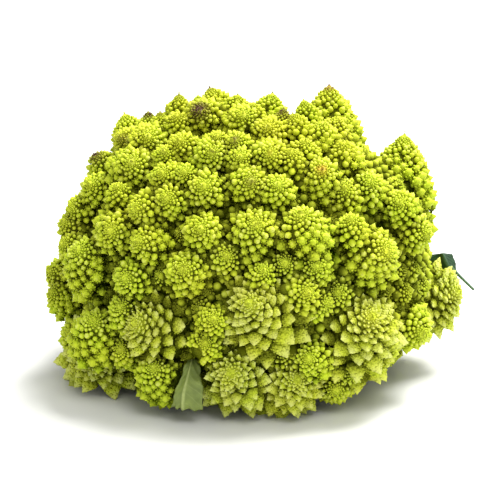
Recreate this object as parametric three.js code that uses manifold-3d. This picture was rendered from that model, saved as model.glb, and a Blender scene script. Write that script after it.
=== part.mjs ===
// A head of romanesco: lime-green florets packed over a mound, each a cone of spiralling buds, all grown
// from one heart, on a cut stem, with two small leaves caught between the florets.
// Millimetres, +Z up. The origin is on the table, under the middle of the head.
import * as THREE from 'three';
import { ConvexHull } from 'three/addons/math/ConvexHull.js';
import { mergeVertices } from 'three/addons/utils/BufferGeometryUtils.js';
import Module from 'manifold-3d';

const wasm = await Module();
wasm.setup();

// Driving dimensions
const headHalfWidth = 95;
const headHalfDepth = 85;
const widestAt = 48; // height of the widest part of the head above the table
const crownRise = 84; // from the widest part up to the crown
const skirtDrop = 75; // from the widest part down to where the skirt would close under the table
const moundShare = 0.82; // the mound that the florets stand on, as a share of the head
const moundBudWidth = 8;
const moundBudCount = 900;
const undersideHeight = 14; // of the mound's underside round the stem
const growthHeart = new THREE.Vector3(0, 0, 34); // where all the florets grow from
const stemRadius = 19;
const stemTop = 26;
const stubCount = 5; // stalks of the outer leaves, trimmed short
const stubLength = 7;
const stubRadius = 3;
const stubLevel = 4.5; // height of a stub's middle where it leaves the stem
const leafThickness = 1;
const stalkRadius = 0.75;
const fitGap = 0.35; // between pieces that touch

// The view that the florets were read in: a picture 500 pixels square, looked at from a little above
const eyeRise = THREE.MathUtils.degToRad(18);
const eyeReach = 1000;
const mmPerPixel = 0.457;
const pictureMiddle = 250;
const aim = new THREE.Vector3(-1.8, 0, 56.7);
const right = new THREE.Vector3(1, 0, 0);
const up = new THREE.Vector3(0, Math.sin(eyeRise), Math.cos(eyeRise));
const back = new THREE.Vector3(0, -Math.cos(eyeRise), Math.sin(eyeRise));

// How buds sit on a floret
const goldenAngle = Math.PI * (3 - Math.sqrt(5));
const topmostBud = 0.2; // place of the topmost bud, as a share of the way down the flank to its widest ring
const lowestBud = 1.12; // and of the lowest one, on the underside
const bodyShare = 0.86; // the floret's body as a share of its width, the rest being the buds that stand out
const budStandOff = 0.26; // how far a bud stands out, as a share of its own width
const budLean = 0.5; // how far a bud leans from the flank's normal towards the tip
const valleyDepth = 0.1; // of the valleys between buds below the body, as a share of their width
const deepestCleft = 7; // of a valley below the lowest bud round it
const closestBuds = 0.42; // buds nearer than this share of their width are one bud
const coneShape = 1.2; // 1 would round a floret into a dome, more draws it out to a point

// Florets seen from the front. tip and base are pixels of the picture, wide is in millimetres,
// and sunk says how far a floret sits back between its neighbours.
const seenFlorets = [
  // along the top edge, left to right
  { tip: [124, 112], base: [132, 142], wide: 14 },
  { tip: [148, 110], base: [150, 132], wide: 9 },
  { tip: [160, 110], base: [161, 134], wide: 9 },
  { tip: [179, 92], base: [180, 125], wide: 13 },
  { tip: [198, 94], base: [199, 114], wide: 8 },
  { tip: [209, 86], base: [218, 113], wide: 14 },
  { tip: [238, 93], base: [235, 120], wide: 14 },
  { tip: [253, 101], base: [254, 122], wide: 9 },
  { tip: [273, 91], base: [267, 126], wide: 16 },
  { tip: [284, 107], base: [281, 130], wide: 9 },
  { tip: [303, 98], base: [309, 124], wide: 10 },
  { tip: [292, 112], base: [300, 134], wide: 10 },
  { tip: [329, 82], base: [332, 150], wide: 27 },
  { tip: [405, 131], base: [398, 206], wide: 31 },
  // the crown
  { tip: [322, 119], base: [322, 148], wide: 15 },
  { tip: [343, 139], base: [346, 168], wide: 16 },
  { tip: [306, 138], base: [304, 160], wide: 13 },
  { tip: [118, 136], base: [131, 143], wide: 12 },
  { tip: [148, 134], base: [148, 147], wide: 18 },
  { tip: [199, 108], base: [206, 121], wide: 18 },
  { tip: [176, 113], base: [178, 127], wide: 10 },
  { tip: [243, 112], base: [243, 126], wide: 16 },
  { tip: [234, 138], base: [238, 147], wide: 11 },
  { tip: [217, 134], base: [217, 144], wide: 9 },
  { tip: [268, 124], base: [270, 138], wide: 16 },
  { tip: [270, 151], base: [270, 162], wide: 18 },
  { tip: [291, 148], base: [292, 166], wide: 11 },
  { tip: [240, 155], base: [240, 162], wide: 11 },
  { tip: [212, 150], base: [213, 161], wide: 19 },
  { tip: [178, 138], base: [184, 152], wide: 14 },
  { tip: [163, 149], base: [165, 160], wide: 10 },
  { tip: [131, 160], base: [135, 175], wide: 24 },
  { tip: [93, 153], base: [106, 171], wide: 13 },
  { tip: [88, 182], base: [101, 192], wide: 15 },
  { tip: [117, 183], base: [119, 198], wide: 10 },
  { tip: [161, 171], base: [167, 180], wide: 13 },
  { tip: [184, 170], base: [185, 177], wide: 9 },
  { tip: [203, 184], base: [208, 194], wide: 19 },
  { tip: [252, 180], base: [246, 187], wide: 19 },
  { tip: [278, 182], base: [276, 195], wide: 15 },
  { tip: [323, 167], base: [320, 187], wide: 22 },
  { tip: [372, 178], base: [366, 194], wide: 16 },
  { tip: [345, 185], base: [345, 203], wide: 21, sunk: 4 },
  // the face
  { tip: [165, 196], base: [175, 204], wide: 18 },
  { tip: [131, 209], base: [152, 209], wide: 16 },
  { tip: [108, 230], base: [122, 232], wide: 23 },
  { tip: [200, 227], base: [204, 233], wide: 16 },
  { tip: [134, 240], base: [157, 245], wide: 19 },
  { tip: [256, 222], base: [254, 239], wide: 27 },
  { tip: [301, 210], base: [305, 243], wide: 26 },
  { tip: [350, 215], base: [352, 233], wide: 12 },
  { tip: [226, 255], base: [228, 262], wide: 17, sunk: 5 },
  { tip: [285, 262], base: [286, 268], wide: 16, sunk: 5 },
  { tip: [317, 266], base: [314, 270], wide: 15, sunk: 2 },
  { tip: [122, 278], base: [138, 279], wide: 18 },
  { tip: [182, 268], base: [190, 273], wide: 20 },
  { tip: [248, 302], base: [264, 312], wide: 42 },
  { tip: [214, 318], base: [212, 322], wide: 12 },
  { tip: [205, 342], base: [204, 347], wide: 13 },
  { tip: [264, 268], base: [262, 280], wide: 12, sunk: 3 },
  { tip: [310, 292], base: [300, 295], wide: 16 },
  { tip: [331, 303], base: [316, 305], wide: 12, sunk: 4 },
  { tip: [338, 292], base: [338, 297], wide: 15, sunk: 8 },
  { tip: [286, 352], base: [286, 358], wide: 15, sunk: 9 },
  // the right flank
  { tip: [400, 200], base: [402, 211], wide: 15 },
  { tip: [431, 235], base: [408, 232], wide: 17 },
  { tip: [391, 250], base: [358, 261], wide: 36 },
  { tip: [462, 291], base: [420, 299], wide: 33 },
  // the left flank
  { tip: [66, 208], base: [88, 212], wide: 15 },
  { tip: [61, 219], base: [79, 231], wide: 15 },
  { tip: [76, 246], base: [95, 270], wide: 26 },
  { tip: [59, 243], base: [79, 250], wide: 14 },
  { tip: [46, 269], base: [69, 278], wide: 16 },
  { tip: [48, 291], base: [72, 302], wide: 18 },
  { tip: [93, 317], base: [95, 340], wide: 21 },
  // the skirt
  { tip: [94, 358], base: [104, 355], wide: 37 },
  { tip: [66, 333], base: [84, 340], wide: 18 },
  { tip: [118, 305], base: [129, 315], wide: 16, sunk: 3 },
  { tip: [119, 349], base: [126, 351], wide: 14, sunk: 4 },
  { tip: [131, 323], base: [166, 328], wide: 35 },
  { tip: [153, 366], base: [161, 380], wide: 20 },
  { tip: [230, 374], base: [239, 372], wide: 35 },
  { tip: [298, 379], base: [290, 382], wide: 26 },
  { tip: [308, 358], base: [313, 362], wide: 16 },
  { tip: [374, 315], base: [355, 336], wide: 39 },
  { tip: [425, 336], base: [406, 325], wide: 20 },
  { tip: [388, 357], base: [376, 347], wide: 17 },
  { tip: [357, 378], base: [346, 363], wide: 18 },
  { tip: [336, 393], base: [334, 378], wide: 20 },
];

// The leaf caught at the front, from its hidden root down to its crinkled edge. Each point is a pixel of the
// picture and how many millimetres it lies in front of the picture's plane.
const frontLeafRows = [
  [[191, 346, 30], [195, 346, 31], [199, 346, 30]],
  [[188, 359, 50], [192, 359, 51], [199, 359, 50]],
  [[181, 378, 54], [187, 378, 55.5], [201, 378, 54]],
  [[174, 394, 56], [183, 394, 57.5], [203, 394, 56]],
  [[172, 408, 54], [182, 409, 56], [202, 410, 54.5]],
];

// The leaf caught at the right, from its straight top edge down, and its stalk
const sideLeafRows = [
  [[429, 255, -24], [443, 253, -16], [452, 254, -18]],
  [[416, 263, -26], [447, 261, -15], [455, 262, -18]],
  [[422, 271, -25], [451, 270, -15], [457, 272, -18]],
  [[440, 279, -21], [454, 279, -16], [458, 283, -18]],
];
const sideStalk = [[450, 266, -15.5], [474, 290, -13]];

// Notches in the head's outline, in pixels of the picture. Hidden florets that show there sit deeper.
const notches = [
  { at: [368, 140], round: 36, deeper: 19 },
  { at: [440, 240], round: 34, deeper: 17 },
  { at: [291, 104], round: 20, deeper: 5 },
];

// Few buds on a small floret, more on a large one
function budsFor(wide) {
  return Math.round(6 + 0.55 * wide);
}

// A floret's whole width, from the width that shows between its neighbours, which cover more of a small one
function wholeWidth(shown) {
  return shown * (1.25 - 0.006 * shown);
}

// A floret's usual length: a small one is as long as wide, a large one is flatter
function usualLength(shown) {
  return shown * (1.08 - 0.01 * shown);
}

// Seeded draws, so that every build is the same
function seededDraw(seed) {
  let state = seed;
  return () => {
    state = (state + 0x6d2b79f5) | 0;
    let mixed = Math.imul(state ^ (state >>> 15), 1 | state);
    mixed = (mixed + Math.imul(mixed ^ (mixed >>> 7), 61 | mixed)) ^ mixed;
    return ((mixed ^ (mixed >>> 14)) >>> 0) / 4294967296;
  };
}

// How deep a point is in the head: 1 on the skin that the floret tips reach, less inside
function depthInHead(point) {
  const rise = (point.z - widestAt) / (point.z > widestAt ? crownRise : skirtDrop);
  return Math.hypot(point.x / headHalfWidth, point.y / headHalfDepth, rise);
}

// The point seen at a pixel, a given distance in front of the picture's plane through the aim
function pointInView(across, down, forward) {
  const nearer = mmPerPixel * (1 - forward / eyeReach);
  return aim.clone()
    .addScaledVector(right, (across - pictureMiddle) * nearer)
    .addScaledVector(up, (pictureMiddle - down) * nearer)
    .addScaledVector(back, forward);
}

// The pixel at which a point is seen
function pixelOf(point) {
  const away = point.clone().sub(aim);
  const nearer = mmPerPixel * (1 - away.dot(back) / eyeReach);
  return [pictureMiddle + away.dot(right) / nearer, pictureMiddle - away.dot(up) / nearer];
}

// Where a pixel's line of sight first meets the skin, or passes nearest to it
function skinAtPixel([across, down]) {
  const eye = aim.clone().addScaledVector(back, eyeReach);
  const target = aim.clone()
    .addScaledVector(right, (across - pictureMiddle) * mmPerPixel)
    .addScaledVector(up, (pictureMiddle - down) * mmPerPixel);
  const sight = target.sub(eye).normalize();
  const step = 0.5;
  const best = { point: null, depth: Infinity };
  for (let reach = eyeReach - 150; reach < eyeReach + 150; reach += step) {
    const point = eye.clone().addScaledVector(sight, reach);
    const depth = depthInHead(point);
    if (depth < best.depth) Object.assign(best, { point, depth });
    if (depth < 1) break;
  }
  return best.point;
}

// A seen floret's tip and axis: the axis matches the picture, and the rest of its length comes forward
function readFloret({ tip, base, wide, sunk = 0 }) {
  const across = (tip[0] - base[0]) * mmPerPixel;
  const rise = (base[1] - tip[1]) * mmPerPixel;
  const inPicture = Math.hypot(across, rise);
  const tall = Math.max(usualLength(wide), inPicture * 1.02);
  const forward = Math.sqrt(tall * tall - inPicture * inPicture);
  const axis = new THREE.Vector3()
    .addScaledVector(right, across)
    .addScaledVector(up, rise)
    .addScaledVector(back, forward)
    .normalize();
  const start = skinAtPixel(tip).addScaledVector(back, -sunk);
  return { tip: start, axis, wide: wholeWidth(wide), tall, buds: budsFor(wide) };
}

// Florets on the hidden side, by the same spiral that sets the buds: small at the crown, large at the skirt
const crownFloret = 13;
const skirtFloret = 34;
const lowestFloret = THREE.MathUtils.degToRad(113);
const floretPacking = 0.8; // share of a floret's square that it takes of the skin
const hiddenShare = 0.95; // the hidden florets' tips stay this far in, as a share of the head
const hiddenBuds = 0.72; // of the buds that a seen floret has
const hiddenSeed = 7;
const headReach = 86;

function hiddenFlorets(seen) {
  const draw = seededDraw(hiddenSeed);
  const found = [];
  let fall = THREE.MathUtils.degToRad(9); // angle down from the crown
  for (let turn = 0; fall < lowestFloret; turn += 1) {
    const wide = crownFloret + (skirtFloret - crownFloret) * (fall / lowestFloret) ** 1.2;
    const around = turn * goldenAngle;
    const tip = new THREE.Vector3(
      hiddenShare * headHalfWidth * Math.sin(fall) * Math.cos(around),
      hiddenShare * headHalfDepth * Math.sin(fall) * Math.sin(around),
      widestAt + hiddenShare * (Math.cos(fall) > 0 ? crownRise : skirtDrop) * Math.cos(fall),
    );
    const axis = tip.clone().sub(growthHeart).normalize();
    axis.add(new THREE.Vector3(draw() - 0.5, draw() - 0.5, draw() - 0.5).multiplyScalar(0.3)).normalize();
    const size = wide * (0.85 + 0.35 * draw());
    const [across, down] = pixelOf(tip);
    const notch = notches.find(({ at, round }) => Math.hypot(across - at[0], down - at[1]) < round);
    tip.addScaledVector(axis, -3 * draw() - (notch ? notch.deeper : 0));
    const clear = seen.every((other) => other.tip.distanceTo(tip) > 0.36 * (other.wide + size));
    if (axis.dot(back) < 0.12 && clear) {
      const tall = usualLength(size) * (1 + 0.3 * draw());
      found.push({ tip, axis, wide: wholeWidth(size), tall, buds: Math.round(hiddenBuds * budsFor(size)) });
    }
    fall += (floretPacking * wide * wide) / (2 * Math.PI * headReach ** 2 * Math.sin(fall));
  }
  return found;
}

// A floret's outline: reach runs from 0 at the tip, through 1 at the widest ring, to the underside past it.
// The flank starts as a cone and rounds over into the belly.
function flank(reach, radius, tall) {
  const round = (Math.PI / 2) * reach;
  const outPer = radius * coneShape * Math.sin(round) ** (coneShape - 1) * (Math.PI / 2) * Math.cos(round);
  const dropPer = tall * (0.6 + 0.2 * Math.PI * Math.sin(round));
  return {
    out: radius * Math.sin(round) ** coneShape,
    drop: tall * (0.6 * reach + 0.4 * (1 - Math.cos(round))),
    slope: Math.hypot(outPer, dropPer),
    normal: [dropPer, outPer], // outwards and towards the tip
  };
}

// Whether a point is within a floret or the branch below it
function insideFloret(point, { tip, axis, wide, tall }) {
  const away = point.clone().sub(tip);
  const drop = -away.dot(axis);
  const out = away.addScaledVector(axis, drop).length();
  const radius = (wide / 2) * bodyShare;
  if (drop < 0 || out > radius) return false;
  return out < radius * Math.sin((Math.PI / 2) * Math.min(1, (drop / tall) ** 0.85)) ** coneShape;
}

// Whether a point is within the mound that the florets stand on
function insideMound(point) {
  return depthInHead(point) < moundShare && point.z > undersideHeight;
}

// How far from the heart the outermost surface lies in a direction: a floret's, or the mound's
function outermostReach(direction, florets) {
  const step = 0.6;
  const pointAt = (reach) => growthHeart.clone().addScaledVector(direction, reach);
  let outermost = 130;
  while (!insideMound(pointAt(outermost))) outermost -= step;
  florets.forEach((floret) => {
    const toTip = floret.tip.clone().sub(growthHeart);
    const along = toTip.dot(direction);
    const off = toTip.addScaledVector(direction, -along).length();
    if (off > floret.wide / 2 + floret.tall) return;
    let reach = along + floret.wide / 2;
    while (reach > outermost && !insideFloret(pointAt(reach), floret)) reach -= step;
    outermost = Math.max(outermost, reach);
  });
  return outermost;
}

// The buds of one floret: they spiral up the flank from the underside, each nearer the tip than the last by
// a fixed ratio, and one more stands at the tip
function floretBuds(floret, index) {
  const count = floret.buds;
  const ratio = (topmostBud / lowestBud) ** (1 / (count - 1));
  const radius = (floret.wide / 2) * bodyShare;
  const side = new THREE.Vector3(1, 0, 0).cross(floret.axis).normalize();
  const ahead = floret.axis.clone().cross(side);
  const buds = [{ peak: floret.tip.clone(), width: 2, index }];
  for (let k = 0; k < count; k += 1) {
    const reach = lowestBud * ratio ** k;
    const turn = (k + 3 * index) * goldenAngle;
    const { out, drop, slope, normal } = flank(reach, radius, floret.tall);
    const width = Math.sqrt(2 * Math.PI * out * slope * reach * -Math.log(ratio));
    const outward = side.clone().multiplyScalar(Math.cos(turn)).addScaledVector(ahead, Math.sin(turn));
    const foot = floret.tip.clone().addScaledVector(outward, out).addScaledVector(floret.axis, -drop);
    const lean = outward.multiplyScalar(normal[0]).addScaledVector(floret.axis, normal[1]).normalize();
    lean.addScaledVector(floret.axis, budLean).normalize();
    buds.push({ peak: foot.addScaledVector(lean, budStandOff * width), width, index });
  }
  return buds;
}

// Buds of the mound itself, spread evenly, which show where no floret stands
function moundBuds() {
  return Array.from({ length: moundBudCount }, (_, k) => {
    const level = 1 - (2 * (k + 0.5)) / moundBudCount;
    const ring = Math.sqrt(1 - level * level);
    const turn = k * goldenAngle;
    const peak = new THREE.Vector3(
      moundShare * headHalfWidth * ring * Math.cos(turn),
      moundShare * headHalfDepth * ring * Math.sin(turn),
      Math.max(undersideHeight, widestAt + moundShare * level * (level > 0 ? crownRise : skirtDrop)),
    );
    peak.addScaledVector(peak.clone().sub(growthHeart).normalize(), budStandOff * moundBudWidth);
    return { peak, width: moundBudWidth, index: -1 };
  });
}

// Buds that show from outside and stay clear of each other as seen from the heart, the earlier ones first
function openBuds(buds, florets) {
  const kept = [];
  buds.forEach((bud) => {
    bud.direction = bud.peak.clone().sub(growthHeart).normalize();
    bud.reach = bud.peak.distanceTo(growthHeart);
    const clear = kept.every((other) => {
      const apart = other.direction.distanceTo(bud.direction) * bud.reach;
      return apart > closestBuds * (bud.index === other.index ? Math.min : Math.max)(bud.width, other.width);
    });
    const others = florets.filter((_, index) => index !== bud.index);
    if (clear && outermostReach(bud.direction, others) < bud.reach + 0.5) kept.push(bud);
  });
  return kept;
}

// The point of a triangle that is equally far from its sides, as weights of its corners
function middleWeights(corners) {
  const sides = corners.map((_, i) => corners[(i + 1) % 3].distanceTo(corners[(i + 2) % 3]));
  const around = sides[0] + sides[1] + sides[2];
  return sides.map((side) => side / around);
}

// A closed surface of pointed buds round the heart. Seen from the heart the buds are joined into triangles;
// the middle of each triangle sinks to a valley, and every edge is turned to run from valley to valley, so
// that each bud stands alone as a small pyramid.
function budRelief(buds, florets) {
  const budAt = new Map();
  buds.forEach((bud) => budAt.set(bud.direction, bud));
  const hull = new ConvexHull().setFromPoints(buds.map((bud) => bud.direction));
  const valleys = new Map();
  hull.faces.forEach((face) => {
    const corners = [0, 1, 2].map((i) => face.getEdge(i).head().point);
    const around = corners.map((corner) => budAt.get(corner));
    const direction = new THREE.Vector3();
    middleWeights(corners).forEach((weight, i) => direction.addScaledVector(corners[i], weight));
    direction.normalize();
    const width = (around[0].width + around[1].width + around[2].width) / 3;
    const lowest = Math.min(...around.map((bud) => bud.reach));
    const surface = outermostReach(direction, florets) - valleyDepth * width;
    const reach = Math.max(surface, lowest - deepestCleft);
    valleys.set(face, growthHeart.clone().addScaledVector(direction, reach));
  });
  const positions = [];
  hull.faces.forEach((face) => {
    [0, 1, 2].forEach((i) => {
      const edge = face.getEdge(i);
      const triangle = [budAt.get(edge.tail().point).peak, valleys.get(edge.twin.face), valleys.get(face)];
      triangle.forEach((corner) => positions.push(corner.x, corner.y, corner.z));
    });
  });
  const geometry = new THREE.BufferGeometry();
  geometry.setAttribute('position', new THREE.Float32BufferAttribute(positions, 3));
  return geometry;
}

// A leaf blade from rows of three points, left edge, midrib and right edge, each a pixel of the picture and
// how far it lies in front of the picture's plane. grow widens it all round, for the slot it sits in.
function bladeGeometry(rows, thick, grow) {
  const points = rows.map((row) => row.map(([across, down, forward]) => pointInView(across, down, forward)));
  const last = points.length - 1;
  const lengthwise = points[last][1].clone().sub(points[0][1]).normalize();
  const crosswise = points[last][2].clone().sub(points[last][0]).normalize();
  const facing = lengthwise.clone().cross(crosswise).normalize();
  points.forEach((row, i) => row.forEach((point, j) => {
    point.addScaledVector(crosswise, (j - 1) * grow);
    if (i === 0) point.addScaledVector(lengthwise, -grow);
    if (i === last) point.addScaledVector(lengthwise, grow);
  }));
  const faces = [1, -1].map((side) => (
    points.flat().map((point) => point.clone().addScaledVector(facing, side * (thick / 2 + grow)))
  ));
  const positions = [];
  const addTriangle = (...corners) => corners.forEach(({ x, y, z }) => positions.push(x, y, z));
  for (let i = 0; i < last; i += 1) {
    for (let j = 0; j < 2; j += 1) {
      const [a, b, c, d] = [3 * i + j, 3 * i + j + 1, 3 * i + j + 4, 3 * i + j + 3];
      addTriangle(faces[0][a], faces[0][d], faces[0][c]);
      addTriangle(faces[0][a], faces[0][c], faces[0][b]);
      addTriangle(faces[1][a], faces[1][c], faces[1][d]);
      addTriangle(faces[1][a], faces[1][b], faces[1][c]);
    }
  }
  const rim = [];
  for (let j = 0; j < 3; j += 1) rim.push(j);
  for (let i = 1; i <= last; i += 1) rim.push(3 * i + 2);
  for (let j = 1; j >= 0; j -= 1) rim.push(3 * last + j);
  for (let i = last - 1; i > 0; i -= 1) rim.push(3 * i);
  rim.forEach((a, i) => {
    const b = rim[(i + 1) % rim.length];
    addTriangle(faces[0][a], faces[0][b], faces[1][b]);
    addTriangle(faces[0][a], faces[1][b], faces[1][a]);
  });
  const geometry = new THREE.BufferGeometry();
  geometry.setAttribute('position', new THREE.Float32BufferAttribute(positions, 3));
  return geometry;
}

// A straight tapered rod
function rodGeometry(start, end, startRadius, endRadius, sides) {
  const along = end.clone().sub(start);
  const rod = new THREE.CylinderGeometry(endRadius, startRadius, along.length(), sides);
  const turn = new THREE.Quaternion().setFromUnitVectors(new THREE.Vector3(0, 1, 0), along.normalize());
  rod.applyQuaternion(turn);
  return rod.translate(...start.clone().add(end).multiplyScalar(0.5).toArray());
}

// The stem: a stump with its edge pared, and the stubs of the outer leaves' stalks, trimmed short
function stemSolid(grow) {
  const profile = [
    [0, -grow],
    [stemRadius - 1.5 + grow, -grow],
    [stemRadius + grow, 1.5],
    [stemRadius - 1 + grow, stemTop - 3],
    [stemRadius - 4 + grow, stemTop + grow],
    [0, stemTop + grow],
  ];
  const stump = new THREE.LatheGeometry(profile.map(([out, level]) => new THREE.Vector2(out, level)), 20);
  let solid = solidOf(stump.rotateX(Math.PI / 2));
  for (let k = 0; k < stubCount; k += 1) {
    const outward = new THREE.Vector3(Math.cos(k * goldenAngle), Math.sin(k * goldenAngle), 0);
    const start = outward.clone().multiplyScalar(stemRadius - 6).setZ(stubLevel);
    const end = outward.clone().multiplyScalar(stemRadius + stubLength + grow).setZ(stubLevel + 2);
    solid = solid.add(solidOf(rodGeometry(start, end, stubRadius + 1 + grow, stubRadius + grow, 8)));
  }
  return solid;
}

function frontLeafSolid(grow) {
  return solidOf(bladeGeometry(frontLeafRows, leafThickness, grow));
}

function sideLeafSolid(grow) {
  const blade = solidOf(bladeGeometry(sideLeafRows, leafThickness, grow));
  const [start, end] = sideStalk.map(([across, down, forward]) => pointInView(across, down, forward));
  return blade.add(solidOf(rodGeometry(start, end, stalkRadius + grow, 0.85 * stalkRadius + grow, 8)));
}

function solidOf(geometry) {
  const bare = new THREE.BufferGeometry().setAttribute('position', geometry.getAttribute('position'));
  if (geometry.index) bare.setIndex(geometry.index);
  const merged = mergeVertices(bare, 1e-4);
  const corners = Array.from(merged.index.array);
  const kept = [];
  for (let t = 0; t < corners.length; t += 3) {
    const [a, b, c] = corners.slice(t, t + 3);
    if (a !== b && b !== c && c !== a) kept.push(a, b, c);
  }
  return new wasm.Manifold(new wasm.Mesh({
    numProp: 3,
    vertProperties: merged.attributes.position.array,
    triVerts: new Uint32Array(kept),
  }));
}

function geometryOf(solid) {
  const mesh = solid.getMesh();
  const geometry = new THREE.BufferGeometry();
  geometry.setAttribute('position', new THREE.Float32BufferAttribute(mesh.vertProperties, mesh.numProp));
  geometry.setIndex(new THREE.Uint32BufferAttribute(mesh.triVerts, 1));
  geometry.computeVertexNormals();
  return geometry;
}

// The largest piece of a solid, without the scraps that a cut leaves
function largestPiece(solid) {
  return solid.decompose().sort((a, b) => b.volume() - a.volume())[0];
}

function curdSolid() {
  const seen = seenFlorets.map(readFloret);
  const florets = [...seen, ...hiddenFlorets(seen)];
  const buds = openBuds([...florets.flatMap(floretBuds), ...moundBuds()], florets);
  const belowTable = new THREE.BoxGeometry(400, 400, 100).translate(0, 0, -50);
  const whole = solidOf(budRelief(buds, florets)).subtract(solidOf(belowTable));
  const slots = stemSolid(fitGap).add(frontLeafSolid(fitGap)).add(sideLeafSolid(fitGap));
  return largestPiece(whole.subtract(slots));
}

const curdMaterial = new THREE.MeshStandardMaterial({ color: 0xa9c022, roughness: 0.6, metalness: 0 });
const stemMaterial = new THREE.MeshStandardMaterial({ color: 0xc3cf8e, roughness: 0.6, metalness: 0 });
const frontLeafMaterial = new THREE.MeshStandardMaterial({ color: 0x8fa37c, roughness: 0.7, metalness: 0 });
const sideLeafMaterial = new THREE.MeshStandardMaterial({ color: 0x2f5a36, roughness: 0.6, metalness: 0 });

const head = new THREE.Group();

function addPiece(name, solid, material) {
  const piece = new THREE.Mesh(geometryOf(solid), material);
  piece.name = name;
  head.add(piece);
}

addPiece('curd', curdSolid(), curdMaterial);
addPiece('stem', stemSolid(0), stemMaterial);
addPiece('leaf_front', frontLeafSolid(0), frontLeafMaterial);
addPiece('leaf_side', sideLeafSolid(0), sideLeafMaterial);

export default head;
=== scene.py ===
# %% [markdown]
# # A head of romanesco
#
# A romanesco is a flower head that keeps starting again: a mound of pointed florets, each floret a cone
# of spiralling buds, and each large bud a cone of still smaller ones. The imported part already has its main
# florets in place, with few and large buds. This lesson dresses it: the same florets are grown again from
# the same table and the same spiral, now with their full count of buds, small florets fill the gaps, and
# all of it gets the colours of the fresh plant.

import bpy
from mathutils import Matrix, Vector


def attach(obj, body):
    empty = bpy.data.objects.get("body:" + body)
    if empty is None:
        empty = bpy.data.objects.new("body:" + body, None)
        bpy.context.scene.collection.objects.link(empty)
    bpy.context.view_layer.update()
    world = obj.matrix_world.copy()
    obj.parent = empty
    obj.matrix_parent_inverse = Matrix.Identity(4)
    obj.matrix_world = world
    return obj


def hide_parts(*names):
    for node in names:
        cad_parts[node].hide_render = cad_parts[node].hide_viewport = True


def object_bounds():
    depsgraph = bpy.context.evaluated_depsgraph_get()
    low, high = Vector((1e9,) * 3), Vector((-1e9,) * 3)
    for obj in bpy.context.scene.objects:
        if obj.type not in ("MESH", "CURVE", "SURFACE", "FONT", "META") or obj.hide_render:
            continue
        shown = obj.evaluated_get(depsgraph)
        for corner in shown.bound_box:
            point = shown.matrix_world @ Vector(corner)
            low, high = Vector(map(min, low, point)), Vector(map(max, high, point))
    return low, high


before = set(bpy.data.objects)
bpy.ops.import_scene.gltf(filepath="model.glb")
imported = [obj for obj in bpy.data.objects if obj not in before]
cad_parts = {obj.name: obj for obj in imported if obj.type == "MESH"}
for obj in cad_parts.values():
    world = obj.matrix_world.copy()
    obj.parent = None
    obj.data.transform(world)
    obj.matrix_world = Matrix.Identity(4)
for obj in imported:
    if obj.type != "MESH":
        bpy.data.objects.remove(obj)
solid_box = [list(corner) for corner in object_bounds()]

import math

import bpy
import numpy as np
from mathutils import Matrix, Vector

MM = 0.001
solid_low, solid_high = [np.array(corner) / MM for corner in solid_box]
print("packed part, mm:", solid_low.round(1), "to", solid_high.round(1))

# %% [markdown]
# ## The view
#
# The florets of the visible side were read from a picture 500 pixels square, taken from 18 degrees above
# the table. A pixel becomes a line of sight, so the same three directions (right, up and back to the eye)
# place both the camera and every floret. Working from one view keeps the two from drifting apart.

# %% Directions of the view, in millimetres
EYE_RISE = math.radians(18)
EYE_REACH = 1000.0
MM_PER_PIXEL = 0.457
PICTURE_MIDDLE = 250.0
AIM = np.array([-1.8, 0.0, 56.7])
RIGHT = np.array([1.0, 0.0, 0.0])
UP = np.array([0.0, math.sin(EYE_RISE), math.cos(EYE_RISE)])
BACK = np.array([0.0, -math.cos(EYE_RISE), math.sin(EYE_RISE)])
EYE = AIM + EYE_REACH * BACK


def unit(vectors):
    """Each vector divided by its own length."""
    return vectors / np.linalg.norm(vectors, axis=-1, keepdims=True)


def point_in_view(across, down, forward):
    """Aim + pixels times millimetres a pixel (fewer where nearer) + forward towards the eye."""
    nearer = MM_PER_PIXEL * (1 - forward / EYE_REACH)
    sideways = (across - PICTURE_MIDDLE) * nearer
    upwards = (PICTURE_MIDDLE - down) * nearer
    return AIM + sideways * RIGHT + upwards * UP + forward * BACK


def pixel_of(point):
    """The reverse: the distance across and down, divided by millimetres a pixel at that depth."""
    away = point - AIM
    nearer = MM_PER_PIXEL * (1 - away @ BACK / EYE_REACH)
    return np.array([PICTURE_MIDDLE + away @ RIGHT / nearer, PICTURE_MIDDLE - away @ UP / nearer])


# %% [markdown]
# ## The head's skin
#
# The tips of the florets lie on a smooth skin: the upper half of one ellipsoid, and the lower half of a
# flatter one that the table cuts. Depth 1 is the skin, and less is inside. Reading a floret means
# following a pixel's line of sight until it meets the skin, or taking its nearest pass at the edge.

# %% Skin of the head
HALF_WIDTH = 95.0
HALF_DEPTH = 85.0
WIDEST_AT = 48.0
CROWN_RISE = 84.0
SKIRT_DROP = 75.0
UNDERSIDE = 14.0
HEART = np.array([0.0, 0.0, 34.0])


def depth_in_head(points):
    """The length of (x / half width, y / half depth, rise above the widest ring / crown or skirt)."""
    x, y, z = np.moveaxis(np.asarray(points, float), -1, 0)
    rise = (z - WIDEST_AT) / np.where(z > WIDEST_AT, CROWN_RISE, SKIRT_DROP)
    return np.sqrt((x / HALF_WIDTH) ** 2 + (y / HALF_DEPTH) ** 2 + rise**2)


def skin_at_pixel(across, down):
    """The first point of the line of sight with depth below 1, else the one with the least depth."""
    sight = unit(point_in_view(across, down, 0.0) - EYE)
    reach = np.arange(EYE_REACH - 150, EYE_REACH + 150, 0.5)
    line = EYE + reach[:, None] * sight
    depth = depth_in_head(line)
    inside = np.flatnonzero(depth < 1)
    return line[inside[0] if len(inside) else np.argmin(depth)]


# %% [markdown]
# ## The florets that the picture shows
#
# Each row gives a floret's tip and the middle of its base, both in pixels, and the width that shows
# between its neighbours, in millimetres. A fourth value, where there is one, says how far it sits back.

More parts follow.
